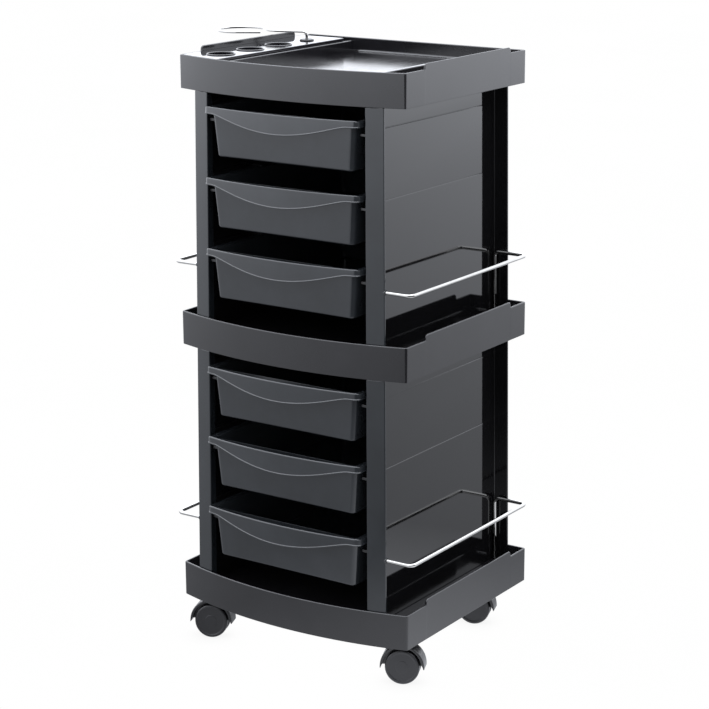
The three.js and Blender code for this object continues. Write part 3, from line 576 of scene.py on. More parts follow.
def build_post(bay, side_name):
    """Bowed flange, a fork tine behind it for the side panel, and the towel rail's socket."""
    name = f"front_post_{bay}_{side_name}"
    side = SIDES[side_name]
    low, high = box(name)
    inset = WALL + FIT_GAP
    steps = 8
    front = [(x, bow_y(x, -inset)) for x in spread(POST_INNER, POST_OUTER, steps)]
    rear = [(x, bow_y(x, -inset - POST_THICKNESS)) for x in spread(POST_OUTER, POST_INNER, steps)]
    plain = [0] * (steps - 1)
    outer_edge, inner_edge = mm(1.1, 0.6)
    radii = [outer_edge, *plain, outer_edge, inner_edge, *plain, inner_edge]
    section = [(side * p.x, p.y) for p in rounded(front + rear, radii)]
    flange = bar(section, low.z, high.z, 1.5 * MM, upright)
    tine_front = bow_y(TINE_INNER, -inset) + 1 * MM
    tine = rounded(
        [(TINE_INNER, tine_front), (TINE_INNER + WALL, tine_front),
         (TINE_INNER + WALL, TINE_REAR), (TINE_INNER, TINE_REAR)],
        0.5 * MM, 2,
    )
    soft = 0.5 * MM
    fork = bar([(side * p.x, p.y) for p in tine], low.z + soft, high.z - soft, soft, upright)
    shells = [flange, fork, rail_socket(side, *rail_centre(bay, side_name))]
    piece(name + "_face", shells, POST_PLASTIC, ROOT, "panel_plastic", name)


def rail_centre(bay, side_name):
    """Y and Z of the rail's front arm."""
    low, high = box(f"towel_rail_{bay}_{side_name}")
    return low.y + RAIL_RADIUS, high.z - RAIL_RADIUS


def rail_socket(side, centre_y, centre_z):
    """Sleeve behind the post's outer edge that the rail plugs into."""
    root, mouth = SOCKET_ENDS
    outer = SOCKET_RADIUS
    bore = RAIL_RADIUS + FIT_GAP
    profile = [
        (0, root), (outer - 0.5 * MM, root), (outer, root + 0.5 * MM), (outer, mouth - 0.4 * MM),
        (outer - 0.3 * MM, mouth), (bore + 0.2 * MM, mouth), (bore, mouth - 0.4 * MM),
        (bore, SOCKET_BOTTOM), (0, SOCKET_BOTTOM),
    ]
    return lathe(profile, 28, lambda u, v, w: (side * w, centre_y + u, centre_z + v))


def build_side_panel(bay, side_name):
    """Glossy web with two moulded grooves and an outward rear flange with a notched foot."""
    name = f"side_panel_{bay}_{side_name}"
    side = SIDES[side_name]
    low, high = box(name)
    inside = PANEL_FACE - WALL
    flange_outer = max(abs(low.x), abs(high.x))
    flange_front = high.y - PANEL_FLANGE
    section = rounded(
        [(inside, low.y), (PANEL_FACE, low.y), (PANEL_FACE, flange_front),
         (flange_outer, flange_front), (flange_outer, high.y), (inside, high.y)],
        mm(0.9, 0.9, 1.2, 0.9, 0.9, 0.6),
    )

    def notch_cut(rise):
        """How far the flange is cut back at a height over the panel's foot."""
        climb = min(max((rise - FLANGE_NOTCH) / FLANGE_NOTCH, 0.0), 1.0)
        return FLANGE_NOTCH * (1 - math.sqrt(1 - (1 - climb) ** 2))

    def ring(z, inset=0.0, groove=0.0):
        limit = flange_outer - notch_cut(z - low.z)
        points = []
        for p in section:
            x = p.x
            if x > limit - 1 * MM:
                x = min(x, limit - (flange_outer - x) * 0.2)
            if abs(p.x - PANEL_FACE) < 0.2 * MM and p.y < flange_front - 1 * MM:
                x -= groove
            x -= inset if x > PANEL_FACE - WALL / 2 else -inset
            points.append((side * x, p.y, z))
        return points

    bevel = 0.6 * MM
    levels = [(low.z, bevel, 0), (low.z + 0.3 * bevel, 0.3 * bevel, 0), (low.z + bevel, 0, 0)]
    for t in (0.02, 0.1, 0.25, 0.5, 0.75, 1.0):
        levels.append((low.z + FLANGE_NOTCH * (1 + t), 0, 0))
    for drop in GROOVE_DROPS:
        for t in (-1.0, -0.55, 0.0, 0.55, 1.0):
            z = high.z - drop + t * GROOVE_HALF_WIDTH
            levels.append((z, 0, GROOVE_DEPTH * (1 - t * t)))
    levels += [(high.z - bevel, 0, 0), (high.z - 0.3 * bevel, 0.3 * bevel, 0), (high.z, bevel, 0)]
    shell = loft([ring(*level) for level in levels])
    piece(name + "_web", [shell], PANEL_PLASTIC, ROOT, "panel_plastic", name)


def build_back_panel(bay):
    """Closed back with softened edges and a sunk field inside a flat border."""
    name = f"back_panel_{bay}"
    low, high = box(name)
    soft = 0.5 * MM
    slope = 2 * MM
    inner = BACK_BORDER + slope
    half_width = (high.x - low.x) / 2
    end_inset = 0.4 * MM
    levels = (
        (low.z, end_inset, 0), (low.z + soft, 0, 0), (low.z + BACK_BORDER, 0, 0),
        (low.z + inner, 0, BACK_SUNK), (high.z - inner, 0, BACK_SUNK),
        (high.z - BACK_BORDER, 0, 0), (high.z - soft, 0, 0), (high.z, end_inset, 0),
    )
    rings = []
    for z, inset, sunk in levels:
        across = (
            (0, soft), (end_inset, 0), (BACK_BORDER, 0), (inner, sunk), (half_width - slope, sunk),
        )
        face = [(low.x + x, high.y - depth - inset) for x, depth in across]
        mirrored = [(low.x + high.x - x, y) for x, y in reversed(face)]
        front = [(high.x - soft, low.y), (low.x + soft, low.y)]
        rings.append([(x, y, z) for x, y in face + mirrored + front])
    piece(name + "_sheet", [loft(rings)], PANEL_PLASTIC, ROOT, "panel_plastic", name)


# ---------- towel rails and dryer holder
RAIL_SEAT = 163.7 * MM
RAIL_LEG = 155.5 * MM
RAIL_BEND = 8 * MM
HOLDER_WIRE = 2.1 * MM
HOLDER_PIVOT = mm(-148, 80)
HOLDER_NECK = mm(-209, 62)
HOLDER_MIDDLE = mm(-252, 50)
HOLDER_RADIUS = 36.7 * MM
HOLDER_OPENING = (42, 299)
HOLDER_TAIL = 36 * MM


def build_rail(bay, side_name):
    """Bent wire from the post's socket, round outside the panel, and down into the tray."""
    name = f"towel_rail_{bay}_{side_name}"
    side = SIDES[side_name]
    low, high = box(name)
    y_front, z_rail = rail_centre(bay, side_name)
    y_rear = high.y - RAIL_RADIUS
    reach = max(abs(low.x), abs(high.x)) - RAIL_RADIUS
    corners = [
        (side * RAIL_SEAT, y_front, z_rail), (side * reach, y_front, z_rail),
        (side * reach, y_rear, z_rail), (side * RAIL_LEG, y_rear, z_rail),
        (side * RAIL_LEG, y_rear, low.z),
    ]
    shell = tube(bent_path(corners, RAIL_BEND, 10), RAIL_RADIUS)
    piece(name + "_wire", [shell], CHROME, ROOT, "chrome_wire", name)


def build_dryer_holder():
    """One wire: a stem, an arm, an open ring and a free tail."""
    name = "dryer_holder"
    low, high = box(name)
    z = high.z - HOLDER_WIRE
    pivot, neck, middle = (Vector((x, y, z)) for x, y in (HOLDER_PIVOT, HOLDER_NECK, HOLDER_MIDDLE))
    start, stop = (math.radians(degrees) for degrees in HOLDER_OPENING)

    def on_ring(angle):
        return middle + Vector((math.cos(angle), math.sin(angle), 0)) * HOLDER_RADIUS

    foot = Vector((pivot.x, pivot.y, low.z))
    path = bent_path([foot, pivot, neck], 6 * MM)[:-1]
    path += curve(neck.lerp(pivot, 0.12), neck, on_ring(start), 8)
    path += [on_ring(angle) for angle in spread(start, stop, 60)[1:]]
    along = Vector((-math.sin(stop), math.cos(stop), 0))
    path.append(path[-1] + along * HOLDER_TAIL)
    shell = tube(path, HOLDER_WIRE, 14)
    piece(name + "_wire", [shell], CHROME, name, "chrome_wire", name)


def build_holder_socket():
    """Flanged bush in the strip that the dryer holder turns in."""
    name = "dryer_holder_socket"
    low, high = box(name)
    flange = (high.x - low.x) / 2
    barrel = flange - 3 * MM
    bore = HOLDER_WIRE + 0.4 * MM
    bottom = low.z + 2 * MM
    seat = high.z - 2 * MM
    profile = [
        (0, low.z), (barrel - 0.8 * MM, low.z), (barrel, low.z + 0.8 * MM), (barrel, seat),
        (flange, seat), (flange, seat + 1.0 * MM), (flange - 0.5 * MM, seat + 1.6 * MM),
        (flange - 1.4 * MM, high.z), (bore + 1.2 * MM, high.z), (bore + 0.4 * MM, high.z - 0.3 * MM),
        (bore, high.z - 1.2 * MM), (bore, bottom), (0, bottom),
    ]
    shell = lathe(profile, 40, standing_at((low + high) / 2))
    piece("dryer_holder_bush", [shell], RUNNER_PLASTIC, ROOT, "runner_plastic", name)


# ---------- accessory strip
STRIP_THICKNESS = 4.5 * MM
HOLE_X = -150 * MM
HOLE_YS = mm(-125, -57, 11)
HOLE_RADIUS = 19 * MM
COLLAR_WALL = 2.6 * MM
COLLAR_RISE = 1.6 * MM
COLLAR_DEPTH = 9 * MM
BUSH_HOLE_RADIUS = 8.3 * MM
CUTTER_REACH = 30 * MM


def hole_cutter(name, centre, radius, height):
    """A round tool through a plate at a height."""
    low, high = height - CUTTER_REACH, height + CUTTER_REACH
    profile = [(0, low), (radius, low), (radius, high), (0, high)]
    return mesh_object(name, *lathe(profile, 64, standing_at(centre)))


def cut(obj, tools):
    """Subtracts closed tools from a piece and removes them."""
    for tool in tools:
        boolean = obj.modifiers.new("cut", "BOOLEAN")
        boolean.operation = "DIFFERENCE"
        boolean.solver = "EXACT"
        boolean.object = tool
    bpy.context.view_layer.update()
    depsgraph = bpy.context.evaluated_depsgraph_get()
    result = bpy.data.meshes.new_from_object(obj.evaluated_get(depsgraph))
    obj.modifiers.clear()
    obj.data = result
    for tool in tools:
        bpy.data.objects.remove(tool)
    soften(obj)


def collar(y, plate_top):
    """Rounded ring that lines one hole of the strip."""
    inner, outer = HOLE_RADIUS, HOLE_RADIUS + COLLAR_WALL
    top = plate_top + COLLAR_RISE
    low = plate_top - COLLAR_DEPTH
    corners = [(inner, low), (outer, low), (outer, top), (inner, top)]
    section = rounded(corners, mm(0.5, 0.5, 1.25, 1.25), 5)
    rings = [[(HOLE_X + r * c, y + r * s, z) for r, z in section] for c, s in circle(1.0, 72)]
    return loft(rings, wrap=True)


def build_strip():
    """Plate with three collared holes and a hole for the dryer holder's bush."""
    name = "accessory_strip"
    low, high = box(name)
    top = high.z - COLLAR_RISE
    foot = top - STRIP_THICKNESS
    front_steps = 10
    front = [(x, bow_y(x, -WALL - FIT_GAP)) for x in spread(low.x, high.x, front_steps)]
    plan = rounded(
        front + [(high.x, high.y), (low.x, high.y)],
        [4 * MM] + [0] * (front_steps - 1) + [2.4 * MM] * 3, 5,
    )
    edge = 1.0 * MM
    levels = (
        (foot, edge), (foot + 0.3 * MM, 0.3 * MM), (foot + edge, 0), (top - edge, 0),
        (top - 0.6 * MM, 0.15 * MM), (top - 0.15 * MM, 0.5 * MM), (top, edge),
    )
    normals = outward(plan)
    rings = []
    for z, inset in levels:
        rings.append([(p.x - n.x * inset, p.y - n.y * inset, z) for p, n in zip(plan, normals)])
    plate = piece(name + "_plate", [loft(rings)], STRIP_PLASTIC, ROOT, "strip_plastic", name)
    radius = HOLE_RADIUS + COLLAR_WALL / 2
    tools = [
        hole_cutter(f"hole_{i}", Vector((HOLE_X, y)), radius, top) for i, y in enumerate(HOLE_YS)
    ]
    socket_low, socket_high = box("dryer_holder_socket")
    socket = (socket_low + socket_high) / 2
    tools.append(hole_cutter("bush_hole", socket, BUSH_HOLE_RADIUS, top))
    cut(plate, tools)
    collars = [collar(y, top) for y in HOLE_YS]
    piece(name + "_collars", collars, STRIP_PLASTIC, ROOT, "strip_plastic")


# ---------- drawers and runners
APRON_PROUD = 8.75 * MM
APRON_HALF_WIDTH = 136.8 * MM
APRON_END_DEPTH = 10.5 * MM
APRON_MIDDLE_DEPTH = 29.6 * MM
APRON_WAVE_REACH = 118 * MM
DECK_DROP = 2.5 * MM
TUB_HALF_WIDTH = 127.6 * MM
TUB_TAPER = 6.7 * MM
TUB_FRONT = -177 * MM
TUB_LEAN = 4 * MM
TUB_CORNER = 8 * MM
TUB_DEPTH = 73.5 * MM
TUB_WALL = 2.5 * MM
TUB_REAR = 135 * MM
APRON_FACE = 0.7 * MM
APRON_SKIN = 3.2 * MM
APRON_BACK = 4.6 * MM
APRON_RADII = mm(0.4, 0.4, 0.9, 2.6, 0.8, 0.6, 0.6, 0.5, 0.8, 0.4)
RIM_LEAST_RISE = 1.2 * MM
LIP_SIDES = mm(131.1, 133.6)
LIP_DROPS = mm(19.7, 4)
LIP_ENDS = mm(-150, 120)
GUIDE_THICKNESS = 2.6 * MM
LEDGE_THICKNESS = 4 * MM
CHANNEL_FRONT = -60 * MM
LEDGE_FRONT = -151 * MM
NOSE_OUTER = 139.7 * MM


def apron_depth(x):
    """How far the apron hangs at x: a wave that is deepest in the middle."""
    u = min(abs(x) / APRON_WAVE_REACH, 1.0)
    return APRON_END_DEPTH + (APRON_MIDDLE_DEPTH - APRON_END_DEPTH) * (1 - u * u) ** 1.3


def tub_shell(top):
    """Open tub with a flat front that leans back, tapered sides and rounded corners."""

    def ring(inset, drop):
        depth = drop / TUB_DEPTH
        half = TUB_HALF_WIDTH - TUB_TAPER * depth - inset
        front = TUB_FRONT + TUB_LEAN * depth + inset
        rear = TUB_REAR - inset
        corners = [(half, rear), (-half, rear), (-half, front), (half, front)]
        plan = rounded(corners, max(TUB_CORNER - inset, 2 * MM), 8)
        return [(p.x, p.y, top - drop) for p in plan]

    edge = 3 * MM
    inner_edge = 4 * MM
    soft = 0.4 * MM
    below_rim = DECK_DROP + 1 * MM
    quarter = spread(0, math.pi / 2, 4)
    rings = []
    for t in quarter:
        rings.append(ring(edge * (1 - math.sin(t)), TUB_DEPTH - edge * (1 - math.cos(t))))
    rings += [
        ring(0, below_rim), ring(soft, DECK_DROP), ring(TUB_WALL - soft, DECK_DROP),
        ring(TUB_WALL, below_rim),
    ]
    for t in quarter:
        inset = TUB_WALL + inner_edge * (1 - math.cos(t))
        rings.append(ring(inset, TUB_DEPTH - TUB_WALL - inner_edge * (1 - math.sin(t))))
    return loft(rings)


def rim_band(top):
    """The band round the drawer's mouth: a wavy beaded apron in front, a low rim elsewhere."""
    corner = 9 * MM
    plan = bowed_plan(
        APRON_HALF_WIDTH, TUB_REAR + 3 * MM, APRON_PROUD, corner, corner,
        bow_steps=84, corner_steps=8, side_ys=mm(-120, -60, 0, 60),
    )
    deck = top - DECK_DROP
    under = deck - 2.5 * MM
    rings = []
    for p, n in zip(plan, outward(plan)):
        facing_front = max(-n.y, 0.0)
        facing_rear = max(n.y, 0.0)
        in_front = facing_front > 0.5
        rise = (DECK_DROP - RIM_LEAST_RISE) * min(facing_front * 1.15, 1.0) ** 2
        crest = deck + RIM_LEAST_RISE + rise
        foot = top - (apron_depth(p.x) if in_front else APRON_END_DEPTH)
        reach = 6 * MM if in_front else 9.3 * MM - 5.3 * MM * facing_rear ** 2
        section = rounded(
            [(reach, deck), (APRON_BACK, deck), (APRON_BACK, crest), (APRON_FACE, crest),
             (APRON_FACE, foot + 2.1 * MM), (0, foot + 1.3 * MM), (0, foot), (APRON_SKIN, foot),
             (APRON_SKIN, under), (reach, under)],
            APRON_RADII, 4,
        )
        rings.append([(p.x - n.x * s, p.y - n.y * s, z) for s, z in section])
    return loft(rings, wrap=True)


def apron_deck(top):
    """Plate between the bowed apron and the tub's flat front."""
    half = APRON_HALF_WIDTH - 7 * MM
    rear = TUB_FRONT + 1.4 * MM
    front = [(x, bow_y(x, APRON_PROUD - 2.4 * MM)) for x in spread(-half, half, 40)]
    plan = front + [(half, rear), (-half, rear)]
    low = top - DECK_DROP - 2.4 * MM
    high = top - DECK_DROP - 0.1 * MM
    soft = 0.2 * MM
    return loft([[(x, y, z) for x, y in plan] for z in (low, low + soft, high - soft, high)])


def drawer_lip(side, top):
    """Lip under the side rim that rides on the runner."""
    (inner, outer), (low, high) = LIP_SIDES, LIP_DROPS
    section = rounded(
        [(side * inner, top - low), (side * outer, top - low),
         (side * outer, top - high), (side * inner, top - high)],
        mm(0.8, 0.8, 0, 0),
    )
    return bar(section, *LIP_ENDS, 0.8 * MM, along_y)


def build_drawer(number):
    name = f"drawer_{number}"
    top = box(name)[1].z
    shells = [tub_shell(top), rim_band(top), apron_deck(top)]
    shells += [drawer_lip(side, top) for side in SIDES.values()]
    piece(name + "_tub", shells, DRAWER_PLASTIC, name, "drawer_plastic", name)


def build_runner(number, side_name):
    """C-shaped channel at the rear, open ledge before it, and a short nose at the front."""
    name = f"runner_{number}_{side_name}"
    side = SIDES[side_name]
    low, high = box(name)
    outer = max(abs(low.x), abs(high.x))
    inner = min(abs(low.x), abs(high.x))
    plate = outer - WALL
    ledge_top = low.z + LEDGE_THICKNESS
    guide = high.z - GUIDE_THICKNESS
    overlap = 1 * MM

    def shell(points, radii, y_low, y_high):
        section = [(side * p.x, p.y) for p in rounded(points, radii, 3)]
        return bar(section, y_low, y_high, 0.7 * MM, along_y)

    back = [(inner, low.z), (outer, low.z), (outer, high.z)]
    foot = [(plate, ledge_top), (inner, ledge_top)]
    channel = shell(
        [*back, (inner, high.z), (inner, guide), (plate, guide), *foot],
        mm(1.2, 0.6, 0.6, 0.8, 0.8, 1, 1, 1.6), CHANNEL_FRONT, high.y,
    )
    ledge = shell(
        [*back, (plate, high.z), *foot],
        mm(1.2, 0.6, 0.6, 0.6, 1, 1.6), LEDGE_FRONT, CHANNEL_FRONT + overlap,
    )
    nose = shell(
        [(inner, low.z), (NOSE_OUTER, low.z), (NOSE_OUTER, ledge_top), (inner, ledge_top)],
        1.4 * MM, low.y, LEDGE_FRONT + overlap,
    )
    piece(name + "_rail", [channel, ledge, nose], RUNNER_PLASTIC, ROOT, "runner_plastic", name)


# ---------- castors
HOOD_OUTER = 32 * MM
HOOD_INNER = 28 * MM
HOOD_HALF_WIDTH = 12 * MM
HOOD_TIP = 2 * MM
WEB_HALF_WIDTH = 2 * MM
WEB_HUB = 6.5 * MM
COLLAR_RADIUS = 9.5 * MM
COLLAR_FOOT = 22 * MM
COLLAR_BORE = 5.9 * MM
TREAD_RADIUS = 25 * MM
WHEEL_FACES = mm(2.6, 11.8)
WHEEL_BORE = 3.3 * MM
AXLE_RADIUS = 3 * MM
AXLE_HALF_LENGTH = 8.5 * MM


def castor_frame(castor):
    """Axle centre, distance to the stem, and the directions towards the stem and along the axle."""
    axle_low, axle_high = box(f"castor_{castor}_axle")
    stem_low, stem_high = box(f"castor_{castor}_stem")
    centre = (axle_low + axle_high) / 2
    stem = (stem_low + stem_high) / 2
    trail = Vector((stem.x - centre.x, stem.y - centre.y, 0))
    along = trail.normalized()
    axle = Vector((-along.y, along.x, 0))
    return centre, trail.length, along, axle


def castor_placer(castor):
    """Maps (u towards the stem, w along the axle, z above the axle) to a point."""
    centre, _, along, axle = castor_frame(castor)

    def place(u, w, z):
        point = centre + along * u + axle * w
        return (point.x, point.y, centre.z + z)

    return place


def hood_arch(place):
    """Arched guard over both wheels, thinned towards its two tips."""
    half = HOOD_HALF_WIDTH
    section = rounded(
        [(-half, HOOD_INNER), (half, HOOD_INNER), (half, HOOD_OUTER), (-half, HOOD_OUTER)],
        mm(0.8, 0.8, 1.8, 1.8),
    )
    tip = math.asin(HOOD_TIP / HOOD_OUTER)
    angles = spread(-tip, math.pi + tip, 48)
    rings = []
    for i, angle in enumerate(angles):
        from_end = min(i, len(angles) - 1 - i)
        thickness = min(1.0, 0.25 + 0.22 * from_end)
        ring = []
        for w, r in section:
            radius = HOOD_OUTER - (HOOD_OUTER - r) * thickness
            ring.append(place(radius * math.cos(angle), w, radius * math.sin(angle)))
        rings.append(ring)
    return loft(rings)


def hood_web(place):
    """Plate between the two wheels, from the arch to the axle's hub."""
    arch_radius = HOOD_OUTER - 1 * MM
    outline = []
    for radius, start, steps in ((arch_radius, 0, 24), (WEB_HUB, math.pi, 12)):
        for a in spread(start, start + math.pi, steps):
            outline.append((radius * math.cos(a), radius * math.sin(a)))
    soft = 0.3 * MM
    half = WEB_HALF_WIDTH
    rings = []
    for w, inset in ((-half, soft), (-half + soft, 0), (half - soft, 0), (half, soft)):
        shrink = 1 - inset / WEB_HUB * 0.2
        rings.append([place(u * shrink, w, z * shrink) for u, z in outline])
    return loft(rings)


def stem_collar(place, trail, top):
    """Neck that the stem turns in, with a flared foot and an open socket."""
    foot = COLLAR_FOOT
    socket_floor = top - 9 * MM
    profile = [
        (0, foot), (COLLAR_RADIUS - 2 * MM, foot), (COLLAR_RADIUS + 1.5 * MM, foot + 4 * MM),
        (COLLAR_RADIUS, foot + 9 * MM), (COLLAR_RADIUS, top - 1 * MM),
        (COLLAR_RADIUS - 1 * MM, top), (COLLAR_BORE + 0.5 * MM, top),
        (COLLAR_BORE, top - 0.5 * MM), (COLLAR_BORE, socket_floor), (0, socket_floor),
    ]
    return lathe(profile, 36, lambda x, y, z: place(x + trail, y, z))


def wheel_space(name, place):
    """Drum that clears both wheels out of the neck."""
    rings = []
    for w in (-13 * MM, 13 * MM):
        rings.append([place(u, w, z) for u, z in circle(HOOD_INNER + 0.5 * MM, 48)])
    return mesh_object(name, *loft(rings))


def build_hood(castor):
    name = f"castor_{castor}_hood"
    body = f"castor_{castor}"
    high = box(name)[1]
    centre, trail, _, _ = castor_frame(castor)
    place = castor_placer(castor)
    guard = [hood_arch(place), hood_web(place)]
    piece(name + "_shell", guard, CASTOR_PLASTIC, body, "castor_plastic", name)
    collar_shell = stem_collar(place, trail, high.z - centre.z)
    neck = piece(name + "_neck", [collar_shell], CASTOR_PLASTIC, body, "castor_plastic")
    cut(neck, [wheel_space(f"space_{castor}", place)])


def build_wheel(castor, which):
    """Moulded wheel: rounded tread, dished face with a raised hub disc and a blind bore."""
    name = f"castor_{castor}_wheel_{which}"
    centre, _, _, axle = castor_frame(castor)
    low, high = box(name)
    sign = 1 if ((low + high) / 2 - centre).dot(axle) > 0 else -1
    place = castor_placer(castor)
    inner, outer = WHEEL_FACES
    bore_end = inner + 6.6 * MM
    bore_mouth = [
        (0, bore_end), (WHEEL_BORE, bore_end), (WHEEL_BORE, inner + 0.4 * MM),
        (WHEEL_BORE + 0.4 * MM, inner),
    ]
    tread = [
        (2.2, inner), (0.9, inner + 0.4 * MM), (0.2, inner + 1.4 * MM), (0, inner + 2.6 * MM),
        (0, outer - 3.2 * MM), (0.25, outer - 1.9 * MM), (1.0, outer - 0.8 * MM),
        (2.2, outer - 0.2 * MM), (3.4, outer), (4.2, outer - 0.1 * MM), (4.9, outer - 0.6 * MM),
        (6.0, outer - 0.75 * MM),
    ]
    hub_disc = [
        (9.5 * MM, outer - 0.55 * MM), (8.9 * MM, outer - 0.2 * MM), (8.2 * MM, outer - 0.05 * MM),
        (0, outer),
    ]
    profile = bore_mouth + [(TREAD_RADIUS - inset * MM, w) for inset, w in tread] + hub_disc
    shell = lathe(profile, 64, lambda x, y, z: place(x, sign * z, y))
    piece(name + "_disc", [shell], WHEEL_PLASTIC, name, "wheel_tyre", name)


def build_stem(castor):
    """Steel stem with a groove near its top."""
    name = f"castor_{castor}_stem"
    low, high = box(name)
    radius = (high.x - low.x) / 2
    groove = radius - 0.9 * MM
    profile = [
        (0, low.z), (radius - 0.8 * MM, low.z), (radius, low.z + 0.8 * MM),
        (radius, high.z - 7 * MM), (groove, high.z - 6.4 * MM), (groove, high.z - 4.8 * MM),
        (radius, high.z - 4.2 * MM), (radius, high.z - 1.6 * MM), (radius - 1.6 * MM, high.z),
        (0, high.z),
    ]
    shell = lathe(profile, 32, standing_at((low + high) / 2))
    piece(name + "_pin", [shell], STEEL, ROOT, "steel", name)


def build_axle(castor):
    name = f"castor_{castor}_axle"
    place = castor_placer(castor)
    half, radius, soft = AXLE_HALF_LENGTH, AXLE_RADIUS, 0.6 * MM
    profile = [
        (0, -half), (radius - soft, -half), (radius, -half + soft), (radius, half - soft),
        (radius - soft, half), (0, half),
    ]
    shell = lathe(profile, 24, lambda x, y, z: place(x, z, y))
    piece(name + "_pin", [shell], STEEL, f"castor_{castor}", "steel", name)


def build_castor(castor):
    build_hood(castor)
    for which in ("front", "back"):
        build_wheel(castor, which)
    build_stem(castor)
    build_axle(castor)


# ---------- light, floor and camera
CAMERA_PLACE = ORIGIN + Vector((1.8143, -2.5125, 1.25265))
CAMERA_FORWARD = Vector((-0.53065, 0.84447, -0.07265))
CAMERA_LENS = 106.948
CAMERA_SHIFT = (-0.18997, -0.5726)
HOME_REACH = 2 * MM


def build_camera():
    """Camera of the product shot. Its lens shift keeps uprights parallel, and is dropped elsewhere."""
    scene = bpy.context.scene
    data = bpy.data.cameras.new("camera")
    camera = bpy.data.objects.new("camera", data)
    home = bpy.data.objects.new("camera_home", None)
    for obj in (camera, home):
        scene.collection.objects.link(obj)
        obj.location = CAMERA_PLACE
    camera.rotation_euler = CAMERA_FORWARD.to_track_quat("-Z", "Y").to_euler()
    data.lens = CAMERA_LENS
    data.sensor_width = 36.0
    data.clip_end = 60.0
    data.shift_x, data.shift_y = CAMERA_SHIFT
    for channel, value in zip(("shift_x", "shift_y"), CAMERA_SHIFT):
        curve = data.driver_add(channel)
        for modifier in list(curve.modifiers):
            curve.modifiers.remove(modifier)
        curve.driver.type = "SUM"
        variable = curve.driver.variables.new()
        variable.type = "LOC_DIFF"
        for target, obj in zip(variable.targets, (camera, home)):
            target.id = obj
        curve.keyframe_points.add(2)
        for point, place in zip(curve.keyframe_points, ((0.0, value), (HOME_REACH, 0.0))):
            point.co = place
            point.interpolation = "CONSTANT"
    scene.camera = camera


def by_azimuth(tree, vector, stops):
    """A value looked up by the compass angle of a vector, 0 at the front and 90 at the right."""
    split = add_node(tree, "SeparateXYZ", Vector=vector)
    ahead = math_node(tree, "MULTIPLY", split.outputs["Y"], -1.0)
    angle = math_node(tree, "ARCTAN2", split.outputs["X"], ahead)
    ramp = add_node(tree, "ValToRGB", Fac=remap(tree, angle, 0.0, 1.0, -math.pi, math.pi))
    elements = ramp.color_ramp.elements
    ends = {-180: elements[0], 180: elements[1]}
    for degrees, value in stops:
        element = ends.get(degrees) or elements.new((degrees + 180) / 360)
        element.color = (value, value, value, 1)
    return ramp.outputs["Color"], split.outputs["Z"]


def by_ray(tree, seen, mirrored, even):
    """A surface that camera rays, glossy rays and all other rays see as three different lights."""
    path = add_node(tree, "LightPath")
    light = add_node(tree, "MixShader", Fac=path.outputs["Is Glossy Ray"])
    surface = add_node(tree, "MixShader", Fac=path.outputs["Is Camera Ray"])
    for mix, pair in ((light, (even, mirrored)), (surface, (light, seen))):
        feed(tree, mix.inputs[1], pair[0].outputs[0])
        feed(tree, mix.inputs[2], pair[1].outputs[0])
    return surface.outputs["Shader"]


# What the gloss mirrors: WALLS holds (degrees, share of WALL_LIGHT) round the studio, with the dark
# side behind the camera. The overhead softbox and the floor's brightness are in the same units.
WALL_LIGHT = 2.4
COOL = (0.96, 0.99, 1.06, 1)
WALLS = ((-180, 1.0), (-40, 1.0), (6, 0.8), (14, 0.12), (104, 0.12), (112, 1.0), (180, 1.0))
OVERHEAD_LIGHT = 5.2
OVERHEAD_EDGES = (0.5, 0.64)
FLOOR_SIZE = 60.0
FLOOR_NEAR = 0.5
FLOOR_FAR = 3.0
FLOOR_REACH = 8.3
UNDER_REACH = (0.5, 1.3)
POOL_MIDDLE = Vector((0.35, -0.15, 0))
POOL_LIGHT = 1.1
POOL_REACH = 0.6


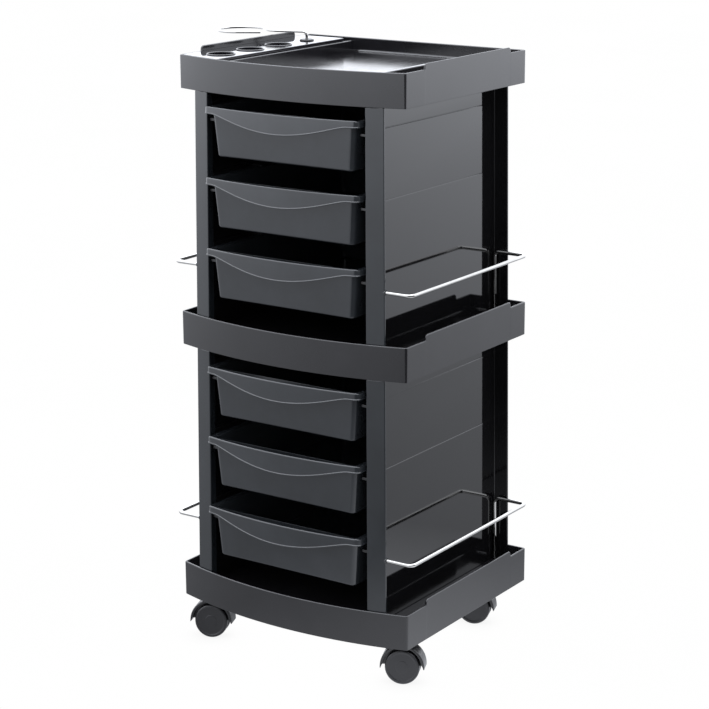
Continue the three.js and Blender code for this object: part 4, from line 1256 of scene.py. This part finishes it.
def build_floor():
    """White floor with a faint contact shadow, mirrored in the gloss as a darker sweep."""
    mesh = bpy.data.meshes.new("floor")
    size = FLOOR_SIZE
    corners = [(-size, -size, 0), (size, -size, 0), (size, size, 0), (-size, size, 0)]
    mesh.from_pydata(corners, [], [(0, 1, 2, 3)])
    floor = bpy.data.objects.new("floor", mesh)
    bpy.context.scene.collection.objects.link(floor)
    material, tree, shader = node_material("floor_paint")
    tree.nodes.remove(shader)
    occlusion = add_node(tree, "AmbientOcclusion", Distance=0.05)
    occlusion.samples = 8
    shadow = remap(tree, occlusion.outputs["AO"], 0.90, 1.0, 0.2, 0.9)
    mottling = remap(tree, noise(tree, 1.5), 0.995, 1.0)
    seen = add_node(tree, "Emission", Strength=math_node(tree, "MULTIPLY", shadow, mottling))
    place = add_node(tree, "NewGeometry").outputs["Position"]
    walls, _ = by_azimuth(tree, place, WALLS)
    away = math_node(tree, "DISTANCE", place, (0, 0, 0), kind="VectorMath")
    mask = math_node(tree, "MAXIMUM", walls, remap(tree, away, 1.0, 0.0, *UNDER_REACH))
    sweep = remap(tree, away, FLOOR_NEAR, FLOOR_FAR, 0.0, FLOOR_REACH)
    from_pool = math_node(tree, "DISTANCE", place, ORIGIN + POOL_MIDDLE, kind="VectorMath")
    pool = remap(tree, from_pool, POOL_LIGHT, 0.0, 0.0, POOL_REACH)
    swept = math_node(tree, "MULTIPLY", sweep, mask)
    brightness = math_node(tree, "ADD", swept, pool)
    mirrored = add_node(tree, "Emission", Color=COOL, Strength=brightness)
    bounce = add_node(tree, "Emission", Strength=0.3)
    surface = by_ray(tree, seen, mirrored, bounce)
    feed(tree, tree.nodes["Material Output"].inputs["Surface"], surface)
    mesh.materials.append(material)


def build_world():
    """White backdrop and even light; the gloss mirrors walls, a dark camera side and a softbox."""
    world = bpy.data.worlds.new("studio")
    bpy.context.scene.world = world
    world.use_nodes = True
    tree = world.node_tree
    tree.nodes.clear()
    towards = add_node(tree, "TexCoord").outputs["Generated"]
    direction = math_node(tree, "NORMALIZE", towards, kind="VectorMath", output="Vector")
    walls, height = by_azimuth(tree, direction, WALLS)
    wall_light = math_node(tree, "MULTIPLY", walls, WALL_LIGHT)
    overhead = remap(tree, height, 0.0, OVERHEAD_LIGHT, *OVERHEAD_EDGES)
    brightness = math_node(tree, "MAXIMUM", wall_light, overhead)
    mirrored = add_node(tree, "Background", Color=COOL, Strength=brightness)
    white = (1, 1, 1, 1)
    even = add_node(tree, "Background", Color=white, Strength=1.0)
    backdrop = add_node(tree, "Background", Color=white)
    surface = by_ray(tree, backdrop, mirrored, even)
    add_node(tree, "OutputWorld", Surface=surface)


def build_object():
    build_trays()
    for bay in BAYS:
        build_back_panel(bay)
        for side_name in SIDES:
            build_post(bay, side_name)
            build_side_panel(bay, side_name)
            build_rail(bay, side_name)
    for number in DRAWERS:
        build_drawer(number)
        for side_name in SIDES:
            build_runner(number, side_name)
    build_strip()
    build_holder_socket()
    build_dryer_holder()
    for castor in CASTORS:
        build_castor(castor)


build_object()
build_camera()
build_floor()
build_world()
bpy.context.scene.view_settings.view_transform = "Standard"
bpy.context.view_layer.update()
